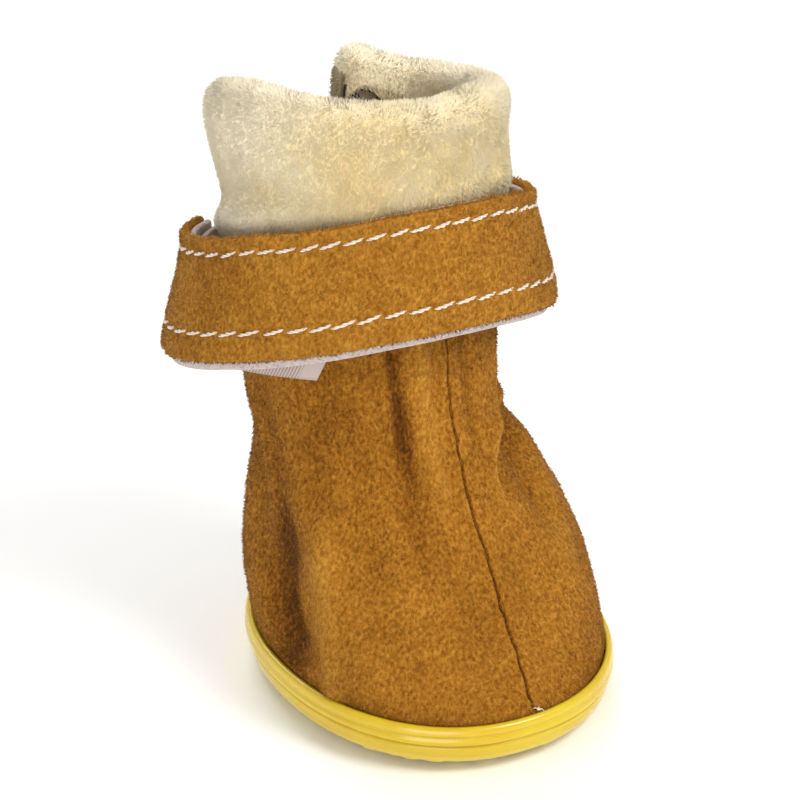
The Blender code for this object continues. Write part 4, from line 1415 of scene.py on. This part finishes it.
def cuff_section():
    """The cuff's backing as level and out: an upturned U over the top edge of the suede, under the pile."""
    base = float(level_at_height(CUFF_BASE))
    facing = float(level_at_height(BOOT_HEIGHT - CUFF_FACING))
    suede_top = float(level_at_height(BOOT_HEIGHT - CUFF_FOLD + CLEARANCE))
    crown = float(level_at_height(BOOT_HEIGHT - CUFF_PILE * 0.45 - CUFF_SHRINK * 0.6))
    top = float(level_at_height(BOOT_HEIGHT - CUFF_SHRINK * 0.5))
    lining_face = -UPPER_WALL - CLEARANCE
    outer_face = CLEARANCE + CUFF_PILE - CUFF_SHRINK
    inner_face = lining_face - CUFF_PILE + CUFF_SHRINK
    outside = [(base, CLEARANCE), (base, outer_face * 0.7), (base + 0.12, outer_face)]
    outside += [(level, outer_face) for level in np.linspace(base + 0.16, SHOULDER_LEVEL, OUTER_ROWS)]
    half_out, half_in = outer_face - SUEDE_MIDDLE, inner_face - SUEDE_MIDDLE
    over = [(crown, SUEDE_MIDDLE + half_out * 0.80), (top, SUEDE_MIDDLE + half_out * 0.38)]
    over += [(top, SUEDE_MIDDLE + half_in * 0.38), (crown, SUEDE_MIDDLE + half_in * 0.80)]
    inside = [(level, inner_face) for level in np.linspace(SHOULDER_LEVEL, facing + 0.12, INNER_ROWS)]
    back = [(facing, inner_face * 0.75), (facing, lining_face), (suede_top, lining_face), (suede_top, CLEARANCE)]
    return np.array(outside + over + inside + back)


cuff_path = cuff_section()
print("points in the cuff's section:", len(cuff_path))

# %% [markdown]
# At the back the cuff ends in two flaps. Plush doesn't end in a square edge: it thins towards the cut, and the top
# corner is rounded, most on the left flap. Inside the left flap the facing is turned in less far, so gingham and
# suede show below it. One function does all this to a point of the section and then places it on the boot.

# %% Round the flaps and shorten the facing
FACING_LIFT = 0.97
END_START = 0.925
CORNER_START = 0.90


def facing_kept(share):
    """How much of the facing's length is left: inside the left flap the plush is turned in less far."""
    return 1 - FACING_LIFT * ease((share - 0.55) / 0.42)


def lift_facing(share, level, out):
    """The level of a point of the facing after it is shortened, so gingham and suede show below it."""
    inside = (out < -UPPER_WALL) & (level < SHOULDER_LEVEL)
    return np.where(inside, SHOULDER_LEVEL - (SHOULDER_LEVEL - level) * facing_kept(share), level)


def round_ends(share, level, out):
    """Level and out with the flaps' ends rounded off: thinner towards the cut edge, and lower at its top corner."""
    least = np.where(share > 0, 0.38, 0.72)
    thin = least + (1 - least) * np.sqrt(1 - np.clip((np.abs(share) - END_START) / (1 - END_START), 0, 1) ** 2)
    span = out - SUEDE_MIDDLE
    kept = np.maximum(np.abs(span) * thin, np.minimum(np.abs(span), UPPER_WALL / 2 + CLEARANCE))
    corner = 1 - np.sqrt(1 - np.clip((np.abs(share) - CORNER_START) / (1 - CORNER_START), 0, 1) ** 2)
    lower = np.where(share > 0, 0.26, 0.09) * corner * ease((level - TOP_LEVEL + 1.6) / 1.6)
    return level - lower, SUEDE_MIDDLE + np.sign(span) * kept


def plush_point(share, level, out):
    """A point of the backing: share runs from -1 at the right flap's cut edge to 1 at the left flap's."""
    level, out = round_ends(share, lift_facing(share, level, out), out)
    degrees = share * slot_angle(level)
    swell = plush_relief(degrees, level, out) * np.sign(out - SUEDE_MIDDLE)
    return on_boot(degrees, level, out + swell)


print("height of the left flap's corner:", round(float(plush_point(1.0, TOP_LEVEL, SUEDE_MIDDLE)[2]) / MM, 1), "mm")

# %% [markdown]
# Light and shade are painted into the plush. It is painted palest where its tips face the light, on the crown, on
# the swollen roll and on the flaps. It is painted yellowest, as painted shade, where one looks down to its roots,
# in dents and between clumps. Each point gets one number for this. The backing and the pile both use it, so no seam
# of colour shows between them.

# %% Choose the tones of the plush
CLUMP_SEED = 14
PATCH_SEED = 15
# how much paler the flaps are painted, as painted light
FLAP_PAINTED_LIGHT = 1.7


def crown_share(level):
    """1 on the crown of the fold, fading down over the first few millimetres."""
    return ease((level - (TOP_LEVEL - 1.15)) / 1.1)


def plush_tones(points, level, painted_shade):
    """Painted light and shade: pale at the crown, cream below, and yellow, as painted shade, in dents and in the
    narrow hollows between upright clumps.
    """
    clumps = soft_noise(points * (1, 1, 0.35), 0.70 * MM, CLUMP_SEED)
    patches = soft_noise(points, 5.0 * MM, PATCH_SEED)
    return 0.48 + 0.09 * clumps + 0.11 * patches - 0.20 * painted_shade + 0.24 * crown_share(level)


def painted_plush_shade(share, level, out):
    """Painted shade: about 1 in a deep dent of the outer face, and below 0, as painted light, on the roll and on
    the flaps, which are painted paler.
    """
    degrees = share * slot_angle(level)
    dents = (troughs(CUFF_DENTS, degrees, level) - 0.9 * low_roll(degrees, level) / MM) * (out > 0)
    return dents - FLAP_PAINTED_LIGHT * ease((np.abs(share) - 0.30) / 0.35)


print("yellowing at the front and on a flap:", [round(float(painted_plush_shade(s, 10.0, 0.001)), 2) for s in (0, 0.9)])

# %% Fold the cuff's backing
CUFF_STATIONS = 160
END_STATIONS = 9


def fold_cuff():
    """The backing as a closed tube from flap to flap, with more stations at the rounded ends."""
    end = np.linspace(END_START, 1, END_STATIONS)[1:]
    shares = np.concatenate((-end[::-1], np.linspace(-END_START, END_START, CUFF_STATIONS), end))[:, None]
    levels = np.broadcast_to(cuff_path[None, :, 0], (len(shares), len(cuff_path)))
    outs = np.broadcast_to(cuff_path[None, :, 1], levels.shape)
    loops = plush_point(shares + 0 * levels, levels, outs)
    # the backing is painted a little deeper than the pile, as painted shade at the roots
    tones = plush_tones(loops, levels, painted_plush_shade(shares + 0 * levels, levels, outs)) - 0.10
    piece = tube_solid("plush_cuff", loops, plush, {"tone": tones})
    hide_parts("cuff")
    return piece


cuff = fold_cuff()

# %% [markdown]
# The pile is planted in three lots: the outer face with the crown, the inner face, and the flaps' cut ends. Roots
# are thrown evenly over the length of the section, so no row of them shows. Where the facing is short they are
# thinned out in the same measure.

# %% Find roots for the pile
# metres for one level of the cuff, and rows of its section: the first of the crown, and those that follow inside
PILE_LEVEL = 6.0 * MM
CROWN_ROW = 43
INSIDE_ROWS = 29


def section_at(path):
    """Level and out of the section at fractional rows."""
    return [np.interp(path, np.arange(len(cuff_path)), cuff_path[:, k]) for k in (0, 1)]


def pile_on_path(rng, count, first, last):
    """Random roots along a stretch of the cuff's section, with the outward direction, level and painted shade."""
    steps = np.linalg.norm(np.diff(cuff_path * (PILE_LEVEL, 1.0), axis=0), axis=1)
    length = np.concatenate(((0.0,), np.cumsum(steps)))
    path = np.interp(rng.uniform(length[first], length[last], count), length, np.arange(len(cuff_path)))
    share = rng.uniform(-1, 1, count)
    shortened = (path > CROWN_ROW + 3) & (rng.random(count) > facing_kept(share) + 0.05)
    path, share = path[~shortened], share[~shortened]
    level, out = section_at(path)
    roots = plush_point(share, level, out)
    along_section = plush_point(share, *section_at(path + 0.5)) - plush_point(share, *section_at(path - 0.5))
    left, right = np.minimum(share + 0.01, 1), np.maximum(share - 0.01, -1)
    round_leg = plush_point(left, level, out) - plush_point(right, level, out)
    normals = unit(np.cross(round_leg, along_section))
    return roots, normals, level, painted_plush_shade(share, level, out)


print("rows that carry pile: 1 to", CROWN_ROW, "outside and", CROWN_ROW, "to", CROWN_ROW + INSIDE_ROWS, "inside")

# %% Plant the pile
OUTER_PILE = 56000
INNER_PILE = 34000
END_PILE = 7000
PILE_LENGTH = 0.72 * MM
PILE_WIDTH = 0.15 * MM


def plant_pile(name, roots, normals, levels, painted_shade, seed):
    """Pile whose tips clump together and lie down a little."""
    rng = np.random.default_rng(seed)
    clump = soft_noise(roots * (1, 1, 0.5), 0.9 * MM, seed + 5)
    lengths = PILE_LENGTH * (0.85 + 0.16 * clump + 0.25 * crown_share(levels))
    lengths = lengths * rng.uniform(0.75, 1.1, len(roots))
    lean = brushed(roots, normals, 0.14 * MM, 1.8 * MM, seed + 9)
    lean[:, 2] -= 0.12 * MM * (1 - crown_share(levels))
    tones = plush_tones(roots, levels, painted_shade) + rng.normal(scale=0.025, size=len(roots))
    sunk = roots - normals * 0.1 * MM
    piece = plant_fibres(name, sunk, normals, lengths, lean, PILE_WIDTH, tones, plush_pile, seed, stray=0.06)
    return piece


def plant_cuff():
    """All the pile of the cuff, in two pieces: the outer face, and the inner face with the flaps' ends."""
    rng = np.random.default_rng(51)
    outside = pile_on_path(rng, OUTER_PILE, 1, CROWN_ROW)
    inside = pile_on_path(rng, INNER_PILE, CROWN_ROW, CROWN_ROW + INSIDE_ROWS)
    made = [plant_pile("plush_pile_outside", *outside, 61)]
    ends = []
    facing = float(level_at_height(BOOT_HEIGHT - CUFF_FACING))
    for side, layer, lowest in ((-1, 1, LEAN_START), (-1, -1, facing), (1, 1, LEAN_START), (1, -1, facing)):
        count = END_PILE // 4
        level = rng.uniform(lowest, TOP_LEVEL - 0.1, count)
        out = SUEDE_MIDDLE + layer * rng.uniform(np.where(level > SHOULDER_LEVEL - 0.4, 0.0, 1.3), 2.3, count) * MM
        into = edge_frame(side, level)[1]
        # the flaps' cut ends are painted as pale as the flaps, as painted light
        ends.append((plush_point(side, level, out), into, level, 0 * level - FLAP_PAINTED_LIGHT))
    joined = [np.concatenate(group) for group in zip(inside, *ends)]
    made.append(plant_pile("plush_pile_inside", *joined, 62))
    return made


pile = plant_cuff()

# %% [markdown]
# ## The strap
#
# The strap is a suede band with a white loop lining. It is sewn to the boot at its right back, passes over the
# gusset and round the front, and hangs loose, so its lower edge stands out. A curve object could carry it, but it
# has to lie on a leaning, uneven cuff. So a table says how far it stands off the leg and how far it has slid down,
# by angle. Behind the slot it eases from one flap to the other.

# %% Lay the strap's line
STRAP_HEIGHT = 0.0510
STRAP_WIDTH = 0.0155
STRAP_SUEDE = 1.0 * MM
STRAP_LINING = 0.8 * MM
STRAP_SLACK = 4.5 * MM
STRAP_FLARE = 2.2 * MM
STRAP_DROP = 2.5 * MM
# degrees round the leg: the sewn end, the free end, and where the band leaves the left flap
STRAP_SEWN_END = 200
STRAP_FREE_END = -145
BACK_BLEND_START = 168
STRAP_STEPS = 320
# angle, slack, drop
SLACKS = [
    (-150, 0.36, 0.30), (-125, 0.62, 0.55), (-105, 0.74, 0.55), (-90, 0.68, 0.35), (-75, 0.52, 0.12),
    (-60, 0.34, 0.00), (-45, 0.22, -0.12), (-25, 0.12, -0.25), (0, 0.14, -0.15), (20, 0.18, 0.00),
    (38, 0.22, 0.35), (52, 0.18, 0.80), (70, 0.06, 1.00), (90, 0.06, 1.00), (120, 0.14, 0.80),
    (150, 0.10, 0.40), (180, 0.04, 0.10), (205, 0.00, 0.00),
]


def round_back(place, degrees, level):
    """A place or direction on the last, eased behind the slot from the left flap's lean to the right flap's."""
    turned = ease((degrees - BACK_BLEND_START) / (STRAP_SEWN_END - BACK_BLEND_START))[..., None]
    return place(degrees, level) * (1 - turned) + place(degrees - 360, level) * turned


def strap_point(degrees, share, out):
    """Points of the strap: share 0 is its lower edge and 1 its upper edge, and out is beyond the cuff."""
    degrees, share, out = np.broadcast_arrays(*(np.asarray(v, float) for v in (degrees, share, out)))
    slack, drop = by_angle(SLACKS, degrees)
    foot = STRAP_HEIGHT - drop * STRAP_DROP
    low, high = level_at_height(foot), level_at_height(foot + STRAP_WIDTH)
    loose = CLEARANCE + max(CUFF_PILE, GUSSET_PUFF) + CLEARANCE + slack * STRAP_SLACK
    start, end = round_back(bare_last, degrees, low), round_back(bare_last, degrees, high)
    direction = unit(round_back(outward, degrees, low) + round_back(outward, degrees, high))
    flare = STRAP_FLARE * (1 - ease(share))
    return start + (end - start) * share[..., None] + direction * (loose + out + flare)[..., None]


strap_angles = np.linspace(STRAP_SEWN_END, STRAP_FREE_END, STRAP_STEPS)
middle_line = strap_point(strap_angles, 0.5, STRAP_LINING)
strap_run = np.concatenate(((0.0,), np.cumsum(np.linalg.norm(np.diff(middle_line, axis=0), axis=-1))))
print("strap length:", round(strap_run[-1] / MM, 1), "mm")

# %% [markdown]
# The band is two layers with soft edges, cut from one section that is carried along the strap's line. Each layer
# could be a flat strip with a bevel, but the section also lets the stitches press two shallow grooves into the
# suede, and lets the lining stand a little below it, where its white edge shows.

# %% Cut the suede band and its lining
LINING_SHOWS = 1.4 * MM
LAYER_GAP = CLEARANCE * 0.3
# the two rows of stitches, as shares of the band's width
STITCH_ROWS = (0.872, 0.235)
FACE_POINTS = 26


def band_section(thickness, low_share, high_share, rounding):
    """A band's section as share and out, from the inner face round the upper edge to the outer face and back."""
    lip = rounding / STRAP_WIDTH
    shares = np.linspace(low_share + lip, high_share - lip, FACE_POINTS)
    outer = [(s, 1.0) for s in shares]
    inner = [(s, 0.0) for s in shares[::-1]]
    top = [(high_share - lip * 0.3, 0.86), (high_share, 0.5), (high_share - lip * 0.3, 0.14)]
    bottom = [(low_share + lip * 0.3, 0.14), (low_share, 0.5), (low_share + lip * 0.3, 0.86)]
    section_points = np.array(outer + top + inner + bottom)
    return section_points[:, 0], section_points[:, 1] * thickness


def strap_waves(degrees, share, out_share):
    """Small waves of the loose band, and the dents along its two rows of stitches."""
    place = np.stack((np.radians(degrees) * 16 * MM, share * STRAP_WIDTH, 0 * share), -1)
    waves = 0.16 * MM * soft_noise(place, 7 * MM, 71) + 0.06 * MM * soft_noise(place, 2.4 * MM, 72)
    dents = sum(np.exp(-(((share - row) * STRAP_WIDTH / (0.55 * MM)) ** 2)) for row in STITCH_ROWS)
    return waves - 0.20 * MM * dents * out_share


def cut_band(name, inner, thickness, ends, rounding, material, node):
    """One layer of the strap. ends are the shares of its lower and upper edge."""
    share, out = band_section(thickness, *ends, rounding)
    degrees, share, out = np.broadcast_arrays(strap_angles[:, None], share[None, :], out[None, :])
    loops = strap_point(degrees, share, inner + out + strap_waves(degrees, share, out / thickness))
    piece = tube_solid(name, loops, material, {"hollow": np.full(share.shape, STRAP_RUBBED)})
    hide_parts(node)
    return piece


strap = cut_band(
    "suede_strap", STRAP_LINING + LAYER_GAP, STRAP_SUEDE, (0.0, 1.0), 0.35 * MM, suede, "strap"
)
lining = cut_band(
    "strap_loop_lining", 0.0, STRAP_LINING, (-LINING_SHOWS / STRAP_WIDTH, 0.975), 0.3 * MM, loop_cloth,
    "strap_lining"
)

# %% [markdown]
# The strap has the same nap as the upper, but handling has rubbed it, so it is lighter. The bare mesh would have a
# hard outline, so one fibre in seven stands on the band's two cut edges.

# %% Raise the nap of the strap
STRAP_FIBRES = 27000
EDGE_SHARE = 0.14
SUEDE_FACE = STRAP_LINING + LAYER_GAP + STRAP_SUEDE


def raise_strap_nap():
    """Fibres over the band's face and along its two long edges."""
    rng = np.random.default_rng(22)
    degrees = rng.uniform(STRAP_FREE_END, STRAP_SEWN_END, STRAP_FIBRES)
    share = rng.uniform(0.005, 0.995, STRAP_FIBRES)
    edge = rng.random(STRAP_FIBRES) < EDGE_SHARE
    share = np.where(edge, np.where(rng.random(STRAP_FIBRES) < 0.5, 0.0, 1.0), share)
    out = np.where(edge, SUEDE_FACE - STRAP_SUEDE * rng.uniform(0.1, 0.9, STRAP_FIBRES), SUEDE_FACE)
    out = out + strap_waves(degrees, share, np.ones(STRAP_FIBRES))
    roots = strap_point(degrees, share, out - 0.03 * MM)
    face = unit(strap_point(degrees, share, out + 0.1 * MM) - roots)
    up = unit(strap_point(degrees, share + 0.01, out) - strap_point(degrees, share - 0.01, out))
    normals = np.where(edge[:, None], up * np.where(share > 0.5, 1.0, -1.0)[:, None], face)
    lengths = NAP_LENGTH * rng.uniform(0.35, 1.0, STRAP_FIBRES)
    lean = brushed(roots, normals, 0.34 * MM, 0.7 * MM, 33)
    tones = nap_tones(roots, 36) + SHADE_AND_WEAR_SHIFT * STRAP_RUBBED
    piece = plant_fibres("suede_strap_nap", roots, normals, lengths, lean, 0.12 * MM, tones, suede_nap, 42)
    return piece


raise_strap_nap()

# %% [markdown]
# Two rows of thick stitches hold the band to its lining, and a third crosses its sewn end. A stitch could be one
# bent cylinder, but up close the thread is twisted from two plies, and the twist is what makes it look like thread.
# So a stitch is a short path with two thin tubes wound round it.

# %% Twist the thread
PLY_RADIUS = 0.140 * MM
PLY_TWISTS = 1.6
PLY_SIDES = 6


def ply_tubes(path, radius):
    """Two tubes twisted round a short path, as a two-ply thread."""
    along = unit(np.gradient(path, axis=0))
    up = unit(np.cross(along, (0.3, 0.2, 0.93)))
    side = np.cross(along, up)
    run = np.linspace(0, 1, len(path))
    thin = np.sqrt(np.clip(np.sin(math.pi * (0.04 + 0.92 * run)), 0.08, 1))
    corner = np.linspace(0, math.tau, PLY_SIDES, endpoint=False)
    tubes = []
    for start in (0, math.pi):
        turn = start + run * PLY_TWISTS * math.tau
        core = path + (up * np.cos(turn)[:, None] + side * np.sin(turn)[:, None]) * (radius * 0.8 * thin)[:, None]
        ring = up[:, None] * np.cos(corner)[None, :, None] + side[:, None] * np.sin(corner)[None, :, None]
        tubes.append(core[:, None] + ring * (radius * thin)[:, None, None])
    return tubes


def sew(name, paths, radius=PLY_RADIUS):
    """One mesh of many two-ply stitches."""
    tubes = np.array([tube for path in paths for tube in ply_tubes(path, radius)])
    count, rings, columns = tubes.shape[:3]
    faces = []
    for k in range(count):
        start = k * rings * columns
        faces += grid_faces(rings, columns, start=start, wrap=True)
        faces.append(tuple(start + c for c in range(columns - 1, -1, -1)))
        faces.append(tuple(start + (rings - 1) * columns + c for c in range(columns)))
    piece = finish_piece(name, tubes, facing_out(tubes, faces), thread)
    return piece


print("thickness of the thread:", round(3.6 * PLY_RADIUS / MM, 2), "mm")

# %% [markdown]
# Each stitch comes out of the suede, lies on it and goes back in, a little aslant. A machine feeds the suede almost
# evenly, so length, pitch and slant change only a little from stitch to stitch.

# %% Sew the strap
STITCH_LENGTH = 2.60 * MM
STITCH_PITCH = 2.75 * MM
STITCH_RINGS = 14
FIRST_STITCH = 1.2 * MM
LAST_STITCH = 0.6 * MM


def sunk_arc(t):
    """Height of a stitch over the suede: it comes up, lies flat and goes back down."""
    return (0.30 * np.sin(math.pi * t) ** 0.5 - 0.12) * MM


def row_stitches(row, seed):
    """Paths of the stitches along the band, at this share of its width."""
    rng = random.Random(seed)
    paths = []
    place = FIRST_STITCH
    t = np.linspace(0, 1, STITCH_RINGS)
    while place + STITCH_LENGTH < strap_run[-1] - LAST_STITCH:
        length = STITCH_LENGTH * rng.uniform(0.88, 1.06)
        degrees = np.interp(place + t * length, strap_run, strap_angles)
        slant = rng.uniform(0.16, 0.30) * MM / STRAP_WIDTH
        share = row - slant * (t - 0.5) * 2 + rng.uniform(-0.06, 0.06) * MM / STRAP_WIDTH
        face_out = SUEDE_FACE + strap_waves(degrees, share, np.ones(STITCH_RINGS))
        paths.append(strap_point(degrees, share, face_out + sunk_arc(t)))
        place += STITCH_PITCH * rng.uniform(0.96, 1.04)
    return paths


def end_stitches(angle, seed):
    """A row across the band, near one of its ends."""
    rng = random.Random(seed)
    paths = []
    t = np.linspace(0, 1, STITCH_RINGS)
    share = STITCH_ROWS[1] + 0.02
    while share + STITCH_LENGTH / STRAP_WIDTH < STITCH_ROWS[0]:
        run = share + t * STITCH_LENGTH * 0.9 / STRAP_WIDTH
        degrees = angle + (t - 0.5) * rng.uniform(0.4, 1.2)
        face_out = SUEDE_FACE + strap_waves(degrees, run, np.ones(STITCH_RINGS))
        paths.append(strap_point(degrees, run, face_out + sunk_arc(t)))
        share += STITCH_PITCH / STRAP_WIDTH
    return paths


sew("strap_stitches_upper", row_stitches(STITCH_ROWS[0], 81))
sew("strap_stitches_lower", row_stitches(STITCH_ROWS[1], 82))
sew("strap_stitches_end", end_stitches(STRAP_SEWN_END - 5.5, 83))

# %% [markdown]
# Thinner thread holds the rest. An overlock runs down both edges of the gusset in small slanted stitches, a tuft
# of cream threads sticks out where the gusset meets the sole, and one thread end is left at the toe of the seam.

# %% Overlock the gusset
OVERLOCK_ROWS = 86
OVERLOCK_RADIUS = 0.105 * MM


def overlock_paths():
    """Slanted stitches from the gusset's edge inwards, on both sides."""
    rng = random.Random(84)
    t = np.linspace(0, 1, 7)[:, None]
    paths = []
    for outer, inner in ((1, 10), (-2, -11)):
        for row in range(11, OVERLOCK_ROWS, 2):
            start = gusset_points[row, outer]
            end = gusset_points[row + 2, inner]
            arc = gusset_away[row, 0] * ((0.10 + 0.22 * np.sin(math.pi * t)) * MM * rng.uniform(0.8, 1.2))
            paths.append(start * (1 - t) + end * t + arc)
    return paths


overlock = sew("gusset_overlock", overlock_paths(), OVERLOCK_RADIUS)

# %% Leave loose ends
FLUFF_FIBRES = 1500
TOE_THREAD_RADIUS = 0.075 * MM


def plant_fluff():
    """Cream threads that stick out where the gusset meets the sole."""
    rng = np.random.default_rng(85)
    across = rng.uniform(-1.25, 1.25, FLUFF_FIBRES)
    level = rng.uniform(-0.02, 0.30, FLUFF_FIBRES)
    right, left, away = slot_frame(np.maximum(level, 0.0))
    share = ((across + 1) / 2)[:, None]
    roots = right * (1 - share) + left * share + away * (rng.uniform(0.0, 0.5, FLUFF_FIBRES) * MM)[:, None]
    lengths = rng.uniform(0.4, 1.3, FLUFF_FIBRES) * MM
    lean = rng.normal(scale=0.55, size=(FLUFF_FIBRES, 3)) * MM + (0, 0, 0.5 * MM)
    tones = rng.uniform(0.4, 1.0, FLUFF_FIBRES)
    piece = plant_fibres("gusset_fluff", roots, away, lengths, lean, 0.11 * MM, tones, plush_pile, 86)
    return piece


fluff = plant_fluff()
toe_line = np.linspace(0, 1, 22)
toe_levels = 0.34 - 0.36 * toe_line
toe_degrees = seam_line(toe_levels) - 0.4 + 2.6 * toe_line + 0.9 * np.sin(toe_line * 7)
toe_path = on_boot(toe_degrees, toe_levels, (0.05 + 0.40 * toe_line) * MM)
toe_thread = sew("toe_thread", [toe_path], TOE_THREAD_RADIUS)

# %% [markdown]
# The gusset is a loose sheet; the size of its flat cloth is printed.

print("flat cloth, mm:", [round(size / MM, 1) for size in gusset_cut])

# %% [markdown]
# ## The hook tape
#
# The other half of the closing is a short hook tape. It is sewn at the right back and hangs forward under the
# strap, and one corner of its ribbed back shows below the suede. It uses the strap's own line, a little further in,
# so the two lie together all the way, and it droops and curls more towards its free end.

# %% Hang the hook tape
TAPE_WIDTH = 13.0 * MM
TAPE_THICKNESS = 0.7 * MM
TAPE_DROOP = 5.4 * MM
TAPE_SKEW = 14
TAPE_SEWN_END = -152
TAPE_FREE_END = -47
TAPE_STEPS = 90
TAPE_STATIONS = 24


def hang_hook_tape():
    """The tape as a thin solid: t runs to its free end, and k from its lower to its upper edge."""
    t = np.linspace(0, 1, TAPE_STEPS)[:, None]
    k = np.linspace(0, 1, TAPE_STATIONS)[None, :]
    low = (STRAP_WIDTH - TAPE_WIDTH) / 2 / STRAP_WIDTH
    share = low + k * TAPE_WIDTH / STRAP_WIDTH - TAPE_DROOP / STRAP_WIDTH * t * t
    degrees = TAPE_SEWN_END + (TAPE_FREE_END - TAPE_SEWN_END) * t + TAPE_SKEW * t * k
    curl = 0.25 * MM * t * t * (1 - k) ** 2
    near = strap_point(degrees, share, -TAPE_THICKNESS - CLEARANCE - curl)
    far = strap_point(degrees, share, -CLEARANCE - curl)
    ribbed = ease((0.945 - t) / 0.015) + 0 * k
    values = {"along": (t + 0 * k) * 30 * MM, "ribbed": ribbed}
    piece = thin_solid("ribbed_hook_tape", near, far, hook_web, values)
    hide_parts("hook_tape")
    return piece


hook_tape = hang_hook_tape()

# %% [markdown]
# ## The insole
#
# A fleece pad lies on the floor of the cup. It is seen only from above, down the shaft, so pile of its own would be
# lost in the shade. A softly uneven pad with the plush finish is enough.

# %% Lay the insole
INSOLE_THICKNESS = 1.6 * MM
INSOLE_SIDES = 160
INSOLE_ROWS = 40


def lay_insole():
    """The pad as closed loops: its underside, its edge, and then its uneven face."""
    inset = RIM_WALL + CLEARANCE + UPPER_WALL + CLEARANCE
    angles = np.linspace(0, math.tau, INSOLE_SIDES, endpoint=False)
    low = CUP_FLOOR + CLEARANCE
    rows = [(0.05, low), (1.0, low), (1.0, low + INSOLE_THICKNESS * 0.6)]
    rows += [(share, low + INSOLE_THICKNESS * 0.85) for share in np.linspace(0.98, 0.05, INSOLE_ROWS)]
    edge = sole_radius(inset, angles)
    loops = np.array([np.stack((s * edge * np.sin(angles), -s * edge * np.cos(angles), 0 * angles + h), -1)
                      for s, h in rows])
    loops[3:, :, 2] += 0.12 * MM * soft_noise(loops[3:], 2.0 * MM, 91)
    tones = 0.35 + 0.25 * soft_noise(loops, 1.2 * MM, 92)
    piece = tube_solid("fleece_insole", loops, plush, {"tone": tones})
    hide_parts("insole")
    return piece


insole = lay_insole()

# %% [markdown]
# ## Triangles added
#
# The triangles of each added piece are counted and printed. The dressed boot has to stay in the box of the
# imported model.

# %% Count the triangles
added = {o.name: sum(len(p.vertices) - 2 for p in o.data.polygons)
         for o in scene.objects if o.type == "MESH" and o.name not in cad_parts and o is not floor}
print("triangles added:", sum(added.values()), "most in one piece:", max(added.values()))
